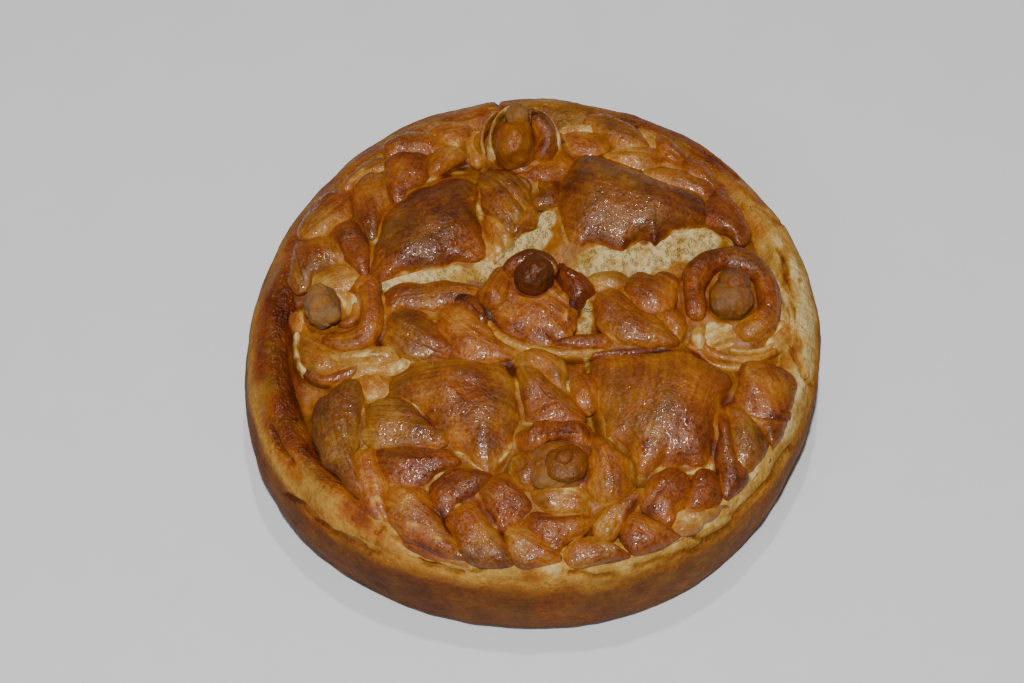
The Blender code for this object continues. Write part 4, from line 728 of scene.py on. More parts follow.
def mesh_from_skins(name, skins):
    """One mesh from several skins, with each layer of values as a point attribute."""
    starts = np.cumsum([0] + [len(part["points"]) for part in skins])
    points = np.concatenate([part["points"] for part in skins]) * MM
    quads = np.concatenate([part["quads"] + start for part, start in zip(skins, starts)])
    triangles = np.concatenate([part["triangles"] + start for part, start in zip(skins, starts)])
    corners = np.concatenate([quads.ravel(), triangles.ravel()])
    sizes = np.concatenate([np.full(len(quads), 4), np.full(len(triangles), 3)])
    mesh = bpy.data.meshes.new(name)
    mesh.vertices.add(len(points))
    mesh.vertices.foreach_set("co", points.astype(np.float32).ravel())
    mesh.loops.add(len(corners))
    mesh.loops.foreach_set("vertex_index", corners.astype(np.int32))
    mesh.polygons.add(len(sizes))
    mesh.polygons.foreach_set("loop_start", (np.cumsum(sizes) - sizes).astype(np.int32))
    mesh.update(calc_edges=True)
    mesh.shade_smooth()
    for layer in skins[0]["layers"]:
        values = np.concatenate([part["layers"][layer] for part in skins]).astype(np.float32)
        kind = "FLOAT_VECTOR" if values.shape[1] == 3 else "FLOAT"
        attribute = mesh.attributes.new(layer, kind, "POINT")
        attribute.data.foreach_set("vector" if kind == "FLOAT_VECTOR" else "value", values.ravel())
    return mesh


def add_piece(name, skins, material, node):
    piece = bpy.data.objects.new(name, mesh_from_skins(name, skins))
    bpy.context.scene.collection.objects.link(piece)
    piece.data.materials.append(material)
    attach(piece, "root")
    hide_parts(node)


# ---- Heights of everything together, from above ----------------------------------------------------------
MAP_REACH = 126                # half the side of a map, in squares of a millimetre


def blurred(heights, spread):
    """A map blurred by a bell curve along both axes."""
    steps = np.arange(-int(2.5 * spread), int(2.5 * spread) + 1)
    weights = np.exp(-0.5 * (steps / spread) ** 2)
    weights /= weights.sum()
    for axis in (0, 1):
        heights = sum(weight * np.roll(heights, step, axis=axis) for step, weight in zip(steps, weights))
    return heights


def bridged_over(heights, reach):
    """A map with its narrow grooves filled: its highest value in a square around each place, then the lowest
    of those."""
    for pick in (np.max, np.min):
        for axis in (0, 1):
            heights = pick([np.roll(heights, step, axis=axis) for step in range(-reach, reach + 1)], axis=0)
    return heights


def height_map(skins):
    """The highest point of all skins in each square millimetre. An empty square takes its highest
    neighbour."""
    heights = np.zeros((2 * MAP_REACH, 2 * MAP_REACH))
    for part in skins:
        cells = np.clip(np.floor(part["points"][:, :2]).astype(int) + MAP_REACH, 0, 2 * MAP_REACH - 1)
        np.maximum.at(heights, (cells[:, 0], cells[:, 1]), part["points"][:, 2])
    beside = np.max([np.roll(heights, (i, j), axis=(0, 1)) for i in (-1, 0, 1) for j in (-1, 0, 1)], axis=0)
    return np.where(heights > 0.0, heights, beside)


def read_map(values, points):
    """Values of a map at points, mixed between the four nearest squares."""
    place = np.clip(points[:, :2] + MAP_REACH - 0.5, 0.0, 2 * MAP_REACH - 2.001)
    index = place.astype(int)
    part = place - index
    x, y = index[:, 0], index[:, 1]
    low = values[x, y] * (1.0 - part[:, 0]) + values[x + 1, y] * part[:, 0]
    high = values[x, y + 1] * (1.0 - part[:, 0]) + values[x + 1, y + 1] * part[:, 0]
    return low * (1.0 - part[:, 1]) + high * part[:, 1]


# ---- Shapes ----------------------------------------------------------------------------------------------
def folds(strand, size, seed):
    """Rounded folds with sharp creases between them: smooth noise without its sign."""
    return 2.0 * np.abs(lumps(strand, size, seed)) - 0.7


def dough_relief(grid, strand, seed, wrinkle):
    """Relief of baked dough: soft lumps, folds and wrinkles along the strand, and small blisters."""
    along = (FOLD_HEIGHT * folds(strand, FOLD_SIZE, seed)
             + WRINKLE_HEIGHT * rough(strand, WRINKLE_SIZE, seed + 3, 2))
    return (LUMP_HEIGHT * rough(grid, LUMP_SIZE, seed, 2) + wrinkle * along
            + BLISTER_HEIGHT * rough(grid, BLISTER_SIZE, seed + 7, 2))


def finished(grid, strand, bake, tone, pale):
    """A skin that carries how far it is baked, its tone and how pale it is."""
    flat = np.ones(grid.shape[:2])
    return skin(grid, {"bake": bake * flat, "tone": tone * flat, "pale": pale * flat, "strand": strand})


def kept_inside(plan):
    """Plan positions drawn in towards the middle near the loaf's outline, by a curve that levels off, so that
    nothing on top hangs over the side."""
    x, y = plan[..., 0], plan[..., 1]
    radius = np.hypot(x, y) / outline_share(np.arctan2(y, x))
    past = np.maximum(radius - DRAWN_FROM, 0.0)
    drawn = np.minimum(radius, DRAWN_FROM) + DRAWN_ROOM * np.tanh(past / DRAWN_ROOM)
    return plan * (drawn / np.maximum(radius, 1.0))[..., None]


def pillow_edge(outline, spacing, overlap):
    """A pillow's outline, widened by its overlap and moved a little by noise that it shares with its
    neighbours."""
    edge = closed_curve(outline, spacing)
    place = np.concatenate([edge, np.zeros((len(edge), 1))], axis=1)
    step = np.roll(edge, -1, axis=0) - np.roll(edge, 1, axis=0)
    outward = np.stack([step[:, 1], -step[:, 0]], axis=-1) / np.linalg.norm(step, axis=1, keepdims=True)
    wander = np.stack([lumps(place, EDGE_LUMP, seed) for seed in EDGE_SEEDS], axis=-1)
    return kept_inside(edge + overlap * outward + EDGE_WANDER * wander)


def rounded(reach_out):
    """The reach from a pillow's middle line to its outline, evened out round the turn by weighted means of
    three places."""
    for parts in ROUNDING_PARTS:
        gap = max(1, len(reach_out) // parts)
        before, after = np.roll(reach_out, gap, axis=0), np.roll(reach_out, -gap, axis=0)
        reach_out = (before + 2.0 * reach_out + after) / 4.0
    return reach_out


def grain_strand(flat, grain, bow, run, side, seed):
    """Where each point lies along and across the grain, which bends with the pillow's middle line."""
    way = np.array([math.cos(math.radians(grain)), math.sin(math.radians(grain))])
    over = np.array([-way[1], way[0]])
    curl = bow[0] * (flat @ run) ** 2 * (over @ side) * abs(way @ run)
    return np.stack([flat @ way, flat @ over - curl, np.full(flat.shape[:-1], seed * STRANDS_APART)], axis=-1)


def pillow_skin(pillow, seed, top=None, fullness=(1.0, 0.92), overlap=0.9, spacing=0.75):
    """A lobe of dough risen like a pillow. Its outline shrinks to a bowed line along its middle with the sine
    of a lean while its height grows with the cosine. Past its widest line it tucks in below. Its top follows
    the loaf, or is as high as a dome's."""
    rise, bake, tone, grain, wrinkle, pale, outline = pillow
    chance = np.random.default_rng(seed)
    edge = pillow_edge(outline, spacing, overlap)
    middle = edge.mean(axis=0)
    arms = edge - middle
    side, run = np.linalg.eigh(arms.T @ arms)[1].T
    along, across = arms @ run, arms @ side
    bow = np.polyfit(along, across, 2)
    half_width = np.abs(across - np.polyval(bow, along)).max()
    reach = max(0.0, np.abs(along).max() - LINE_SHORTER * half_width)
    held = np.clip(along, -reach, reach)
    line = middle + held[:, None] * run + np.polyval(bow, held)[:, None] * side
    outer_rows = int((half_width + WALL_LENGTH) / spacing)
    inner_rows = int(max(reach, SHORTEST_LINE) / spacing)
    lean = np.concatenate([np.linspace(LEAN_BELOW, LEAN_NEAR_TOP, outer_rows),
                           np.linspace(LEAN_NEAR_TOP, LEAN_TOP, inner_rows + 1)[1:]])[:, None]
    upper = np.minimum(lean, np.pi / 2)
    below = np.maximum(lean - np.pi / 2, 0.0)
    spread = (np.sin(upper) ** fullness[0] - TUCK_IN * below)[..., None]
    reach_out = edge - line
    rounder = rounded(reach_out)
    reach_out = rounder + (reach_out - rounder) * smooth_step(0.45, 0.95, spread)
    plan = middle + (line - middle) * smooth_step(0.0, 0.3, spread) + reach_out * spread
    ground = crumb_height(plan[..., 0], plan[..., 1])
    flat = plan - middle
    crest = ground + rise if top is None else top
    shoulder = ground + min(SHOULDER_RISE, SHOULDER_SHARE * rise)
    climb = np.cos(upper) ** fullness[1]
    tilt = run * chance.uniform(-END_TILT, END_TILT) + side * chance.uniform(-SIDE_TILT, SIDE_TILT)
    ends = END_DROP * np.abs(flat @ run / np.abs(along).max()) ** 3
    z = shoulder + (crest - shoulder) * climb * (1.0 - ends) + climb * (flat @ tilt) - TUCK_DOWN * below
    grid = np.concatenate([plan, z[..., None]], axis=-1)
    strand = grain_strand(flat, grain, bow, run, side, seed) * (1.0 if top is None else DOME_GRAIN)
    grid = push_out(grid, dough_relief(grid, strand, seed, wrinkle))
    return finished(grid, strand, bake, tone, pale)


def fuller(wave):
    """A sine or cosine raised to a power with its sign kept, which makes an oval section a little square."""
    return np.sign(wave) * np.abs(wave) ** ROLL_POWER


def roll_skin(roll, seed, spacing=0.72):
    """A roll or fold of dough: an oval section carried along a smooth path, rounded off at both ends as a
    circle is, a half width long. The section stands upright and square to the path."""
    path, bake, tone, pale = roll
    fine = open_curve(path, 400)
    length = np.concatenate([[0.0], np.cumsum(np.linalg.norm(np.diff(fine[:, :2], axis=0), axis=1))])
    whole, blunt = length[-1], 0.5 * (path[0][3] + path[-1][3])
    rows = int(whole / spacing * 1.15)
    polar = np.linspace(0.0, np.pi, rows + 2)[1:-1]
    even = np.linspace(0.0, 1.0, rows)
    place = whole * (CLOSER_AT_ENDS * (1.0 - np.cos(polar)) / 2.0 + (1.0 - CLOSER_AT_ENDS) * even)
    x, y, rise, half_width, half_height = (np.interp(place, length, fine[:, k]) for k in range(5))
    from_end = np.minimum(place, whole - place) + 0.05
    ends = np.sqrt(1.0 - (1.0 - np.minimum(from_end / blunt, 1.0)) ** 2)
    run = np.stack([np.gradient(x), np.gradient(y)], axis=-1)
    run /= np.linalg.norm(run, axis=1, keepdims=True)
    turns = int(TURN * max(row[3] + row[4] for row in path) / 2.0 / spacing)
    around = np.linspace(0.0, TURN, turns, endpoint=False)[None, :]
    swell = 1.0 + ROLL_SWELL * lumps(np.stack([x, y, np.full_like(x, seed * 1.3)], axis=-1), 7.0, seed + 11)
    sideways = fuller(np.cos(around)) * (half_width * ends * swell)[:, None]
    upward = fuller(np.sin(around)) * (half_height * ends)[:, None]
    middle = crumb_height(x, y) + rise - half_height
    plan = np.stack([x[:, None] - run[:, 1:] * sideways, y[:, None] + run[:, :1] * sideways], axis=-1)
    grid = np.concatenate([kept_inside(plan), (middle[:, None] + upward)[..., None]], axis=-1)
    strand = np.stack(np.broadcast_arrays(place[:, None], around * 5.0, seed * STRANDS_APART), axis=-1)
    thin = min(1.0, min(row[3] for row in path) / 4.0)
    grid = push_out(grid, thin * ends[:, None] * dough_relief(grid, strand, seed, ROLL_WRINKLE))
    return finished(grid, strand, bake, tone, pale)


def ball_skin(ball, seed, spacing=0.6):
    """A lumpy ball of dough: a sphere with three radii, swollen by lumps of two sizes, with a fine relief."""
    middle, radii, bake, flour = np.array(ball[:3]), np.array(ball[3:6]), ball[6], ball[7]
    rows, turns = int(np.pi * max(radii) / spacing), int(TURN * max(radii) / spacing)
    polar = np.linspace(np.pi, 0.0, rows + 2)[1:-1, None]
    around = np.linspace(0.0, TURN, turns, endpoint=False)[None, :]
    unit = np.stack(np.broadcast_arrays(np.sin(polar) * np.cos(around), np.sin(polar) * np.sin(around),
                                        np.cos(polar)), axis=-1)
    broad, narrow = (lumps(unit * 10.0, size, seed + step) for size, step in ((7.0, 0), (3.0, 3)))
    swell = 1.0 + BALL_SWELL * broad + BALL_DENT * narrow
    grid = middle + unit * radii * swell[..., None]
    grid = push_out(grid, BALL_GRAIN * rough(grid, 1.6, seed, 2))
    return finished(grid, grid, bake, 0.42 - 0.22 * flour, flour)


def bed_skin(heights, seed=77, rows=180, turns=515):
    """The dough between the plaits: the shallow crown, with a slope up to the lip of each dome. Between
    strands it swells up to a little below their softened height, so that they grow together. A flat underside
    closes it."""
    underside, upper_side = np.linspace(2.0, BED_EDGE, UNDER_ROWS), np.linspace(BED_EDGE, 0.4, rows)
    radius = np.concatenate([underside, upper_side])[:, None]
    around = np.linspace(0.0, TURN, turns, endpoint=False)[None, :]
    x, y = radius * np.cos(around), radius * np.sin(around)
    z = crumb_height(x, y) - 3.0 * smooth_step(BED_EDGE - 6.0, BED_EDGE, radius)
    flank = np.zeros_like(x)
    for name, (*_, outline) in CAPS.items():
        width = NORTH_SLOPE if "north" in name else SOUTH_SLOPE
        flank = np.maximum(flank, 1.0 - smooth_step(-1.0, width, outline_distance(x, y, outline)))
    z = z + (LIP + 1.2) * flank
    grid = np.stack([x, y, z], axis=-1)
    strand = np.stack([y, x, np.full_like(x, 5.0)], axis=-1)
    torn = smooth_step(0.35, 0.75, spots(x, y, TORN) + 0.3 * rough(grid, 5.0, seed, 3))
    swell = read_map(blurred(heights, 2.4), grid.reshape(-1, 3)).reshape(z.shape) - BED_SINK
    swell = np.clip(swell - z, 0.0, BED_SWELL) * smooth_step(BED_EDGE, BED_EDGE - 8.0, radius)
    grid[..., 2] += swell * (1.0 - 0.85 * spots(x, y, WIDE_GAPS))
    grid[:UNDER_ROWS, :, 2] = BED_UNDERSIDE
    relief = 0.5 * rough(grid, 9.0, seed, 2) + 0.25 * rough(grid, 2.4, seed + 3, 2)
    relief += torn * 0.35 * rough(grid, (1.8, 7.0, 7.0), seed + 5, 2)
    grid[UNDER_ROWS:, :, 2] += relief[UNDER_ROWS:]
    return finished(grid, strand, 0.44 + 0.10 * rough(grid, 11.0, seed + 9, 2), 0.5, torn)


def seen_on_top(points):
    """Where each point shows in a plan drawn at the rim's height, looking at the loaf from the front."""
    return points[..., 0], points[..., 1] - PLAN_SHIFT * (PLAN_HEIGHT - points[..., 2])


def crack_depth(points):
    """How deep the cracks of the rim are at each place, from 0 to 1: a bell curve over the distance from the
    nearest of them, which noise moves a little."""
    x, y = seen_on_top(points)
    x = x + 1.2 * lumps(points, 5.0, 71)
    y = y + 1.2 * lumps(points, 5.0, 72)
    nearest = np.full(np.shape(x), FAR_FROM_CRACKS)
    for crack in CRACKS:
        for start, end in zip(crack[:-1], crack[1:]):
            nearest = np.minimum(nearest, line_distance(x, y, start, end))
    return np.exp(-(nearest / CRACK_WIDTH) ** 2)


def crust_skin(seed=91, rows=110, turns=890):
    """The loaf's side and rim: a profile of radius and height carried round the uneven outline."""
    around = np.linspace(0.0, TURN, turns, endpoint=False)[None, :]
    profile = open_curve(SIDE_PROFILE, rows)
    radius, height = profile[:, :1], profile[:, 1:]
    reach = radius * outline_share(around)
    grid = np.stack(np.broadcast_arrays(reach * np.cos(around), reach * np.sin(around), height), axis=-1)
    inwards = np.maximum(110.0 - radius, 0.0)
    strand = np.stack(np.broadcast_arrays(around * 120.0, height + inwards, 9.0), axis=-1)
    rim = smooth_step(34.0, 41.0, height)
    relief = 0.7 * rough(grid, 16.0, seed, 2) + (0.15 + 0.25 * rim) * rough(strand, (11.0, 2.2, 1.0), seed, 2)
    relief += (0.10 + 0.02 * rim) * rough(grid, 2.4, seed + 3, 2)
    ragged = round_the_clock(around, RIM_FOLDS)
    relief += ragged * smooth_step(28.0, 38.0, height) * folds(strand, (46.0, 5.2, 1.0), seed + 9)
    relief -= CRACK_DEPTH * crack_depth(grid) * smooth_step(*CRACK_FADE, height)
    grid = push_out(grid, relief * smooth_step(1.0, 6.0, height))
    return finished(grid, strand, 0.45, 0.3, rim)


# ---- How far each place is baked -------------------------------------------------------------------------
def how_it_lies(points, near, wide, bridged):
    """How points lie in the whole surface, each from 0 to 1: deep in a crease, on the flank of a lobe, proud
    of what is around them, and low between the lobes."""
    z = points[:, 2]
    around = read_map(wide, points)
    deep = smooth_step(1.0, 3.4, read_map(bridged, points) - z)
    flank = smooth_step(0.2, 1.8, read_map(near, points) - z) * (1.0 - deep)
    proud = smooth_step(-1.0, 4.5, z - around)
    low = smooth_step(0.0, 3.0, around + 1.0 - z)
    return deep, flank, proud, low


def oven_wander(points):
    """Broad unevenness of the bake, from about -1 to 1."""
    return rough(points, 13.0, 5, 3)


def washed_looks(points, bake, tone, pale, lie, on_dome):
    """Brushed crust: browner where it is proud, and browner and redder in creases, partly for wash that ran
    into them and partly as painted crease shade; darker where wash pooled, with one painted shadow line under
    the south rosette; lighter on the flanks, and pale where it tore or stretched. The domes have few creases,
    and those stay light."""
    deep, flank, proud, low = lie
    x, y = points[:, 0], points[:, 1]
    wander, pool_and_shadow = oven_wander(points), spots(x, y, POOLS_AND_PAINTED_SHADOW)
    pale = np.maximum(pale, np.maximum(spots(x, y, TORN) * low, spots(x, y, STRETCHED)))
    pale = pale * (0.78 + 0.5 * rough(points, 4.0, 9, 3))
    strand = 0.0 if on_dome else 1.0
    deep = deep * (0.2 + 0.8 * strand)
    # In creases (deep) the bake and, two lines down, the tone rise: partly wash that ran in, partly painted
    # crease shade.
    bake = bake + 0.04 * strand + 0.14 * (proud - 0.5) - 0.18 * flank + 0.16 * deep + 0.16 * wander
    # The pools include one painted shadow line under the south rosette.
    bake = bake + 0.22 * pool_and_shadow * (1.0 - 0.7 * pale)
    tone = tone + 0.15 - 0.25 * proud + 0.4 * pool_and_shadow + 0.3 * deep + 0.35 * flank
    tone = tone + 0.3 * rough(points, 17.0, 6, 3)
    return bake, tone, pale, 1.0 - 0.4 * deep - 0.6 * pale


def bed_looks(points, bake, tone, pale, lie, _):
    """Dough between the plaits: brown and glossy where wash pooled (one painted shadow line among the pools)
    or in creases, where the browning is partly painted crease shade, and matt where it tore.
    """
    deep = lie[0]
    wander, pool_and_shadow = oven_wander(points), spots(points[:, 0], points[:, 1], POOLS_AND_PAINTED_SHADOW)
    # 0.10 * deep browns the creases: partly wash, partly painted crease shade.
    bake = bake + (0.45 * pool_and_shadow + 0.10 * deep) * (1.0 - pale) - 0.1 * wander
    tone = (tone + 0.5 * pool_and_shadow) * (1.0 - smooth_step(0.05, 0.6, pale))
    return bake, tone, pale, 0.9 * (1.0 - pale)


def button_looks(points, bake, tone, pale, *_):
    """Buttons keep the bake, tone and flour of their table."""
    return bake, tone, pale, np.ones(len(points))


def side_looks(points, bake, tone, pale, *_):
    """Side and rim: baked by the angle round the loaf and by how far up and in a place lies, with pools of
    wash, pale streaks and dark cracks."""
    x, y, z = points.T
    angle = np.arctan2(y, x)
    radius = np.hypot(x, y) / outline_share(angle)
    inner = smooth_step(112.0, 105.0, radius) * (z > RIM_ONLY_ABOVE)
    crest = smooth_step(117.5, 112.0, radius) * (z > RIM_ONLY_ABOVE)
    wander, blotch = oven_wander(points), rough(points, 10.0, 8, 3)
    shoulder = smooth_step(30.5, 38.0, z + 2.0 * wander + 1.5 * blotch)
    wall = round_the_clock(angle, WALL) + 0.04 + 0.06 * wander + 0.05 * blotch
    wall = wall + 0.12 * smooth_step(8.0, 1.0, z)
    bake = wall + (round_the_clock(angle, SHOULDER) + 0.08 * wander - wall) * shoulder
    bake = bake + (round_the_clock(angle, RIM_CREST) + 0.10 * wander - bake) * crest
    bake = bake + (round_the_clock(angle, RIM_INNER) + 0.12 * wander - bake) * inner
    bake = bake + 0.26 * crack_depth(points) * smooth_step(*CRACK_FADE, z)
    bake = bake + 0.16 * blotch * crest
    tone = 0.35 + (round_the_clock(angle, RIM_TONE) + 0.6 * blotch - 0.35) * crest
    seen = seen_on_top(points)
    pool_and_shadow, streaked = spots(*seen, POOLS_AND_PAINTED_SHADOW), spots(*seen, STRETCHED)
    bake = bake + 0.28 * pool_and_shadow - 0.22 * streaked
    tone = tone + 0.6 * pool_and_shadow - 0.5 * streaked
    return bake, tone, pale, round_the_clock(angle, RIM_GLOSS) * crest


LOOKS = {"washed": washed_looks, "bed": bed_looks, "side": side_looks, "button": button_looks}


def finish_skins(pieces):
    """Give every point its final bake, tone, paleness and gloss, from 0 to 1, by the finish of its piece and
    by how it lies in the whole surface."""
    heights = height_map([part for skins, *_ in pieces.values() for part in skins])
    maps = blurred(heights, 2.0), blurred(heights, 6.0), blurred(bridged_over(heights, 3), 0.8)
    for skins, node, _, finish in pieces.values():
        for part in skins:
            points, layers = part["points"], part["layers"]
            bake, tone, pale = (layers[name][:, 0] for name in ("bake", "tone", "pale"))
            looks = LOOKS[finish](points, bake, tone, pale, how_it_lies(points, *maps), node == "loaf")
            for name, values in zip(("bake", "tone", "pale", "gloss"), looks):
                layers[name] = np.clip(values, 0.0, 1.0)[:, None]


# ---- Materials -------------------------------------------------------------------------------------------
# Baked dough from cream to dark, as (share of the way, linear colour): olive brown, and red brown.
OLIVE_COLOURS = (
    (0.00, (0.610, 0.480, 0.230)), (0.18, (0.400, 0.236, 0.046)), (0.36, (0.275, 0.126, 0.015)),
    (0.55, (0.175, 0.064, 0.006)), (0.75, (0.096, 0.029, 0.003)), (1.00, (0.036, 0.010, 0.002)),
)
RED_COLOURS = (
    (0.00, (0.600, 0.455, 0.210)), (0.18, (0.430, 0.212, 0.032)), (0.36, (0.325, 0.104, 0.009)),
    (0.55, (0.215, 0.049, 0.003)), (0.75, (0.118, 0.021, 0.002)), (1.00, (0.042, 0.007, 0.001)),
)
# Painted shade inside the pores of the torn crumb.
PAINTED_PORE_SHADE = (0.20, 0.125, 0.05)
FLOUR_COLOUR = (0.156, 0.094, 0.054)
# Of each finish: how mottled it is, how rough where nothing shines, and how high its bumps are in metres.
WASHED_MOTTLE, WASHED_ROUGH, WASHED_BUMP = 0.50, 0.72, 0.00032
BED_MOTTLE, BED_ROUGH, BED_BUMP = 0.46, 0.80, 0.0007
SIDE_MOTTLE, SIDE_ROUGH, SIDE_BUMP = 0.42, 0.78, 0.0008
BUTTON_MOTTLE, BUTTON_ROUGH, BUTTON_BUMP = 0.36, 0.34, 0.0004
WASHED_SPECULAR = 0.5
MATT_SPECULAR = 0.25


class Nodes:
    """Short names for the nodes of one tree."""

    def __init__(self, tree):
        self.tree = tree

    def add(self, kind, settings=None, **inputs):
        """A node with its settings, and a value or a link for each socket. A socket goes by its name, with _
        for a space, or by i and its number."""
        node = self.tree.nodes.new(kind)
        for name, value in (settings or {}).items():
            setattr(node, name, value)
        for name, value in inputs.items():
            self.feed(node, name.replace("_", " "), value)
        return node

    def feed(self, node, name, value):
        socket = node.inputs[int(name[1:])] if name[0] == "i" and name[1:].isdigit() else node.inputs[name]
        if isinstance(value, bpy.types.NodeSocket):
            self.tree.links.new(value, socket)
        else:
            socket.default_value = value

    def math(self, operation, a, b=0.0):
        return self.add("ShaderNodeMath", {"operation": operation}, i0=a, i1=b).outputs[0]

    def plus(self, a, b):
        return self.math("ADD", a, b)

    def minus(self, a, b):
        return self.math("SUBTRACT", a, b)

    def times(self, a, b):
        return self.math("MULTIPLY", a, b)

    def ramp(self, value, low, high):
        """0 below low, 1 above high, and a smooth step between."""
        node = self.add("ShaderNodeMapRange", {"interpolation_type": "SMOOTHSTEP"}, Value=value)
        self.feed(node, "From Min", low)
        self.feed(node, "From Max", high)
        return node.outputs["Result"]

    def noise(self, place, scale, detail=2.0, roughness=0.5, distortion=0.0):
        return self.add("ShaderNodeTexNoise", Vector=place, Scale=scale, Detail=detail, Roughness=roughness,
                        Distortion=distortion).outputs["Fac"]

    def mix(self, share, a, b):
        """Colour a where the share is 0, and b where it is 1."""
        return self.add("ShaderNodeMix", {"data_type": "RGBA"}, i0=share, i6=a, i7=b).outputs[2]

    def colour_ramp(self, value, stops):
        node = self.add("ShaderNodeValToRGB", Fac=value)
        elements = node.color_ramp.elements
        for number, (share, colour) in enumerate(stops):
            stop = elements[number] if number < 2 else elements.new(share)
            stop.position = share
            stop.color = (*colour, 1.0)
        return node.outputs["Color"]

    def attribute(self, name, output="Fac"):
        return self.add("ShaderNodeAttribute", {"attribute_name": name}).outputs[output]

    def place(self):
        return self.add("ShaderNodeTexCoord").outputs["Object"]


def new_group(name, inputs, outputs):
    """An empty shader node group with named sockets, as (name, kind, value)."""
    group = bpy.data.node_groups.new(name, "ShaderNodeTree")
    for label, kind, value in inputs:
        socket = group.interface.new_socket(label, in_out="INPUT", socket_type=kind)
        if value is not None:
            socket.default_value = value
    for label, kind in outputs:
        group.interface.new_socket(label, in_out="OUTPUT", socket_type=kind)
    return group, Nodes(group), group.nodes.new("NodeGroupInput"), group.nodes.new("NodeGroupOutput")


def baked_colour_group():
    """Colour of baked dough from how far it is baked and its tone, with mottling and fine flecks."""
    group, make, given, result = new_group(
        "baked_colour", (("Place", "NodeSocketVector", None), ("Bake", "NodeSocketFloat", 0.5),
                         ("Tone", "NodeSocketFloat", 0.5), ("Mottle", "NodeSocketFloat", 0.2)),
        (("Colour", "NodeSocketColor"),))
    broad = make.minus(make.noise(given.outputs["Place"], 90.0, 3.0, 0.6), 0.5)
    fine = make.minus(make.noise(given.outputs["Place"], 480.0, 3.0, 0.65), 0.5)
    level = make.plus(given.outputs["Bake"], make.times(make.plus(broad, make.times(fine, 0.85)),
                                                        given.outputs["Mottle"]))
    shift = make.times(make.minus(make.noise(given.outputs["Place"], 55.0, 3.0, 0.6), 0.5), 1.6)
    tone = make.ramp(make.plus(given.outputs["Tone"], shift), 0.0, 1.0)
    colour = make.mix(tone, make.colour_ramp(level, OLIVE_COLOURS), make.colour_ramp(level, RED_COLOURS))
    group.links.new(colour, result.inputs["Colour"])
    return group


def blister_group():
    """Height of the fine skin of baked dough: an uneven orange peel with a few round blisters."""
    group, make, given, result = new_group(
        "blisters", (("Place", "NodeSocketVector", None),), (("Height", "NodeSocketFloat"),))
    peel = make.plus(make.noise(given.outputs["Place"], 400.0, 2.0, 0.5),
                     make.times(make.noise(given.outputs["Place"], 900.0, 2.0, 0.5), 0.8))
    cells = make.add("ShaderNodeTexVoronoi", {"feature": "SMOOTH_F1"}, Vector=given.outputs["Place"],
                     Scale=430.0, Smoothness=0.6).outputs["Distance"]
    dome = make.minus(1.0, make.ramp(cells, 0.05, 0.55))
    few = make.ramp(make.noise(given.outputs["Place"], 110.0), 0.50, 0.66)
    group.links.new(make.plus(peel, make.times(make.times(dome, few), 0.8)), result.inputs["Height"])
    return group


def streak_group():
    """Streaks that run along a strand, from noise stretched along it."""
    group, make, given, result = new_group(
        "streaks", (("Strand", "NodeSocketVector", None),), (("Streak", "NodeSocketFloat"),))
    stretched = make.add("ShaderNodeMapping", i0=given.outputs["Strand"], i3=(0.06, 1.05, 1.0)).outputs[0]
    group.links.new(make.noise(stretched, 1.0, 4.0, 0.6, 0.3), result.inputs["Streak"])
    return group


def pore_group():
    """Torn crumb: small pores as a height, and how strong the painted shade inside them is."""
    group, make, given, result = new_group(
        "pores", (("Place", "NodeSocketVector", None),),
        (("Height", "NodeSocketFloat"), ("Shade", "NodeSocketFloat")))
    cells = make.add("ShaderNodeTexVoronoi", Vector=given.outputs["Place"], Scale=1250.0).outputs["Distance"]
    pore = make.minus(1.0, make.ramp(cells, 0.20, 0.70))
    depth = make.times(pore, make.ramp(make.noise(given.outputs["Place"], 420.0, 3.0), 0.44, 0.60))
    crumb = make.noise(given.outputs["Place"], 800.0, 3.0, 0.7)
    group.links.new(make.minus(crumb, depth), result.inputs["Height"])
    group.links.new(depth, result.inputs["Shade"])
    return group


GROUPS = {build.__name__: build() for build in (baked_colour_group, blister_group, streak_group, pore_group)}


def new_material(name):
    material = bpy.data.materials.new(name)
    material.use_nodes = True
    return material, Nodes(material.node_tree), material.node_tree.nodes["Principled BSDF"]


def place_group(make, name, **inputs):
    return make.add("ShaderNodeGroup", {"node_tree": GROUPS[name]}, **inputs)


def streaks(make):
    """Streaks of a strand, from -0.5 to 0.5."""
    strand = make.attribute("strand", "Vector")
    return make.minus(place_group(make, "streak_group", Strand=strand).outputs["Streak"], 0.5)


def bumped(make, height, distance):
    return make.add("ShaderNodeBump", Height=height, Distance=distance, Strength=1.0).outputs["Normal"]


def dough_colour(make, place, bake, mottle):
    """Colour of baked dough with the piece's own tone."""
    return place_group(make, "baked_colour_group", Place=place, Bake=bake, Tone=make.attribute("tone"),
                       Mottle=mottle).outputs["Colour"]


def egg_washed_crust():
    """Glossy brushed crust: brown by its bake, cream where it tore or the wash missed, streaked along the
    strands. The wash shines in fine specks."""
    material, make, shader = new_material("egg_washed_crust")
    place = make.place()
    streak = streaks(make)
    pale = make.attribute("pale")
    torn = make.times(make.ramp(make.plus(pale, make.times(streak, 1.6)), 0.25, 0.75), pale)
    level = make.plus(make.attribute("bake"), make.times(streak, 0.46))
    level = make.minus(level, make.times(torn, 0.5))
    make.feed(shader, "Base Color", dough_colour(make, place, level, WASHED_MOTTLE))
    speck = make.ramp(make.noise(place, 760.0, 2.0, 0.6), 0.46, 0.58)
    gloss = make.times(make.attribute("gloss"), make.plus(0.16, make.times(speck, 0.44)))
    make.feed(shader, "Roughness", make.minus(WASHED_ROUGH, gloss))
    shader.inputs["Specular IOR Level"].default_value = WASHED_SPECULAR
    blisters = place_group(make, "blister_group", Place=place).outputs["Height"]
    make.feed(shader, "Normal", bumped(make, make.plus(blisters, make.times(streak, 0.25)), WASHED_BUMP))
    return material


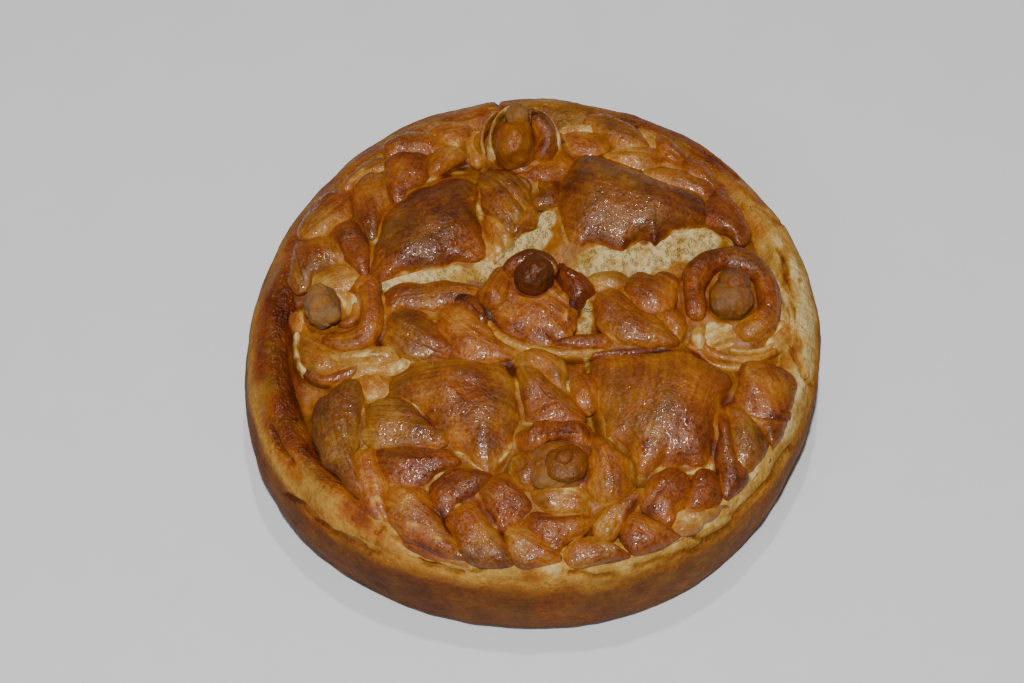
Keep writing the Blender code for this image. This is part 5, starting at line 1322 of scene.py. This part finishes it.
def torn_and_bed():
    """Dough between the plaits: cream porous crumb where it tore, golden elsewhere. The pores are darkened
    with painted shade.
    """
    material, make, shader = new_material("torn_dough")
    place = make.place()
    torn = make.attribute("pale")
    pores = place_group(make, "pore_group", Place=place)
    level = make.minus(make.attribute("bake"), make.times(torn, 0.36))
    # Painted shade in the pores.
    shade = make.times(make.times(pores.outputs["Shade"], torn), 0.09)
    colour = make.mix(shade, dough_colour(make, place, level, BED_MOTTLE), (*PAINTED_PORE_SHADE, 1.0))
    make.feed(shader, "Base Color", colour)
    make.feed(shader, "Roughness", make.minus(BED_ROUGH, make.times(make.attribute("gloss"), 0.44)))
    shader.inputs["Specular IOR Level"].default_value = MATT_SPECULAR
    height = make.times(pores.outputs["Height"], make.plus(0.15, make.times(torn, 0.85)))
    make.feed(shader, "Normal", bumped(make, height, BED_BUMP))
    return material


def side_crust():
    """Side and rim: matt brown grain against the tin, paler or glossy on the rim."""
    material, make, shader = new_material("side_crust")
    place = make.place()
    streak = streaks(make)
    level = make.plus(make.attribute("bake"), make.times(streak, 0.24))
    make.feed(shader, "Base Color", dough_colour(make, place, level, SIDE_MOTTLE))
    make.feed(shader, "Roughness", make.minus(SIDE_ROUGH, make.times(make.attribute("gloss"), 0.46)))
    shader.inputs["Specular IOR Level"].default_value = MATT_SPECULAR
    blisters = place_group(make, "blister_group", Place=place).outputs["Height"]
    make.feed(shader, "Normal", bumped(make, make.plus(blisters, make.times(streak, 0.3)), SIDE_BUMP))
    return material


def button_crust():
    """Unglazed buttons: grey-brown, floury, fine-grained."""
    material, make, shader = new_material("button_crust")
    place = make.place()
    flour = make.attribute("pale")
    dust = make.times(make.ramp(make.noise(place, 160.0, 4.0, 0.6), 0.35, 0.65), flour)
    crust = dough_colour(make, place, make.attribute("bake"), BUTTON_MOTTLE)
    make.feed(shader, "Base Color", make.mix(make.times(dust, 0.75), crust, (*FLOUR_COLOUR, 1.0)))
    make.feed(shader, "Roughness", make.plus(BUTTON_ROUGH, make.times(flour, 0.4)))
    shader.inputs["Specular IOR Level"].default_value = MATT_SPECULAR
    blisters = place_group(make, "blister_group", Place=place).outputs["Height"]
    make.feed(shader, "Normal", bumped(make, blisters, BUTTON_BUMP))
    return material


MATERIALS = {"washed": egg_washed_crust(), "bed": torn_and_bed(), "side": side_crust(),
             "button": button_crust()}


# ---- Building the loaf -----------------------------------------------------------------------------------
def all_skins():
    """Every piece as a list of skins, by the name of the piece, with its node, slot and finish. The bed comes
    last, because it swells up between all the others."""
    pieces = {"loaf_side": ([crust_skin()], "loaf", "crust", "side")}
    for number, (name, (top, *looks, outline)) in enumerate(CAPS.items()):
        pillow = (2.3 * LIP, *looks, DOME_WRINKLE, 0.0, outline)
        dome = pillow_skin(pillow, 300 + number, top, DOME_FULLNESS, DOME_OVERLAP, DOME_SPACING)
        pieces[name] = ([dome], "loaf", "washed_crust", "washed")
    for number, name in enumerate(dict.fromkeys([*PILLOWS, *ROLLS])):
        skins = [pillow_skin(row, 100 * number + place) for place, row in enumerate(PILLOWS.get(name, ()))]
        skins += [roll_skin(row, 100 * number + 60 + place) for place, row in enumerate(ROLLS.get(name, ()))]
        pieces[f"{name}_dough"] = (skins, name, "washed_crust", "washed")
    for number, (name, balls) in enumerate(BUTTONS.items()):
        skins = [ball_skin(ball, 10 + 3 * number + place) for place, ball in enumerate(balls)]
        pieces[f"{name}_dough"] = (skins, name, "button_crust", "button")
    heights = height_map([part for skins, *_ in pieces.values() for part in skins])
    pieces["torn_bed"] = ([bed_skin(heights)], "loaf", "crust", "bed")
    return pieces


dough = all_skins()
finish_skins(dough)
for piece_name, (piece_skins, replaced, piece_slot, finish_kind) in dough.items():
    add_piece(piece_name, piece_skins, MATERIALS[finish_kind], replaced)


# ---- Floor, light and camera, in metres ------------------------------------------------------------------
FLOOR_HALF = 3.0
FLOOR_COLOURS = ((0.715, 0.765, 0.865), (0.755, 0.805, 0.905))
# Lamps: place, width, power in watts.
LAMPS = {
    "front_lamp": ((-0.08, -0.62, 1.48), 0.07, 23.0),
    "back_lamp": ((0.05, 0.30, 1.62), 0.08, 7.0),
    "side_lamp": ((-0.9, -1.2, 1.2), 0.9, 3.5),
}
LAMP_COLOUR = (1.0, 0.93, 0.83)
LAMP_AIM = (0.0, 0.0, 0.03)
ROOM_COLOUR = (1.0, 0.98, 0.95)
ROOM_STRENGTH = 0.11


def add_floor():
    """A square floor with a faint grain."""
    material, make, shader = new_material("pale_floor")
    grain = make.noise(make.place(), 40.0, 4.0)
    darker, lighter = ((*colour, 1.0) for colour in FLOOR_COLOURS)
    make.feed(shader, "Base Color", make.mix(grain, darker, lighter))
    make.feed(shader, "Roughness", 0.85)
    mesh = bpy.data.meshes.new("pale_floor")
    corners = [(FLOOR_HALF * x, FLOOR_HALF * y, 0.0) for x, y in ((-1, -1), (1, -1), (1, 1), (-1, 1))]
    mesh.from_pydata(corners, [], [(0, 1, 2, 3)])
    floor = bpy.data.objects.new("pale_floor", mesh)
    bpy.context.scene.collection.objects.link(floor)
    mesh.materials.append(material)


def aim(item, target):
    """Turn a camera or a lamp, which looks along its own -Z, to a point."""
    item.rotation_euler = (Vector(target) - item.location).to_track_quat("-Z", "Y").to_euler()


def add_lamp(name, place, size, power):
    lamp = bpy.data.lights.new(name, "AREA")
    lamp.shape = "DISK"
    lamp.size = size
    lamp.energy = power
    lamp.color = LAMP_COLOUR
    item = bpy.data.objects.new(name, lamp)
    bpy.context.scene.collection.objects.link(item)
    item.location = place
    aim(item, LAMP_AIM)


def add_camera():
    data = bpy.data.cameras.new("camera")
    data.lens = CAMERA_LENS
    data.sensor_width = CAMERA_SENSOR
    camera = bpy.data.objects.new("camera", data)
    bpy.context.scene.collection.objects.link(camera)
    camera.location = [value * MM for value in CAMERA_AT]
    aim(camera, [value * MM for value in CAMERA_AIM])
    bpy.context.scene.camera = camera


def add_world():
    world = bpy.data.worlds.new("soft_room")
    world.use_nodes = True
    background = world.node_tree.nodes["Background"]
    background.inputs["Color"].default_value = (*ROOM_COLOUR, 1.0)
    background.inputs["Strength"].default_value = ROOM_STRENGTH
    bpy.context.scene.world = world


add_floor()
for lamp_name, lamp_row in LAMPS.items():
    add_lamp(lamp_name, *lamp_row)
add_world()
add_camera()
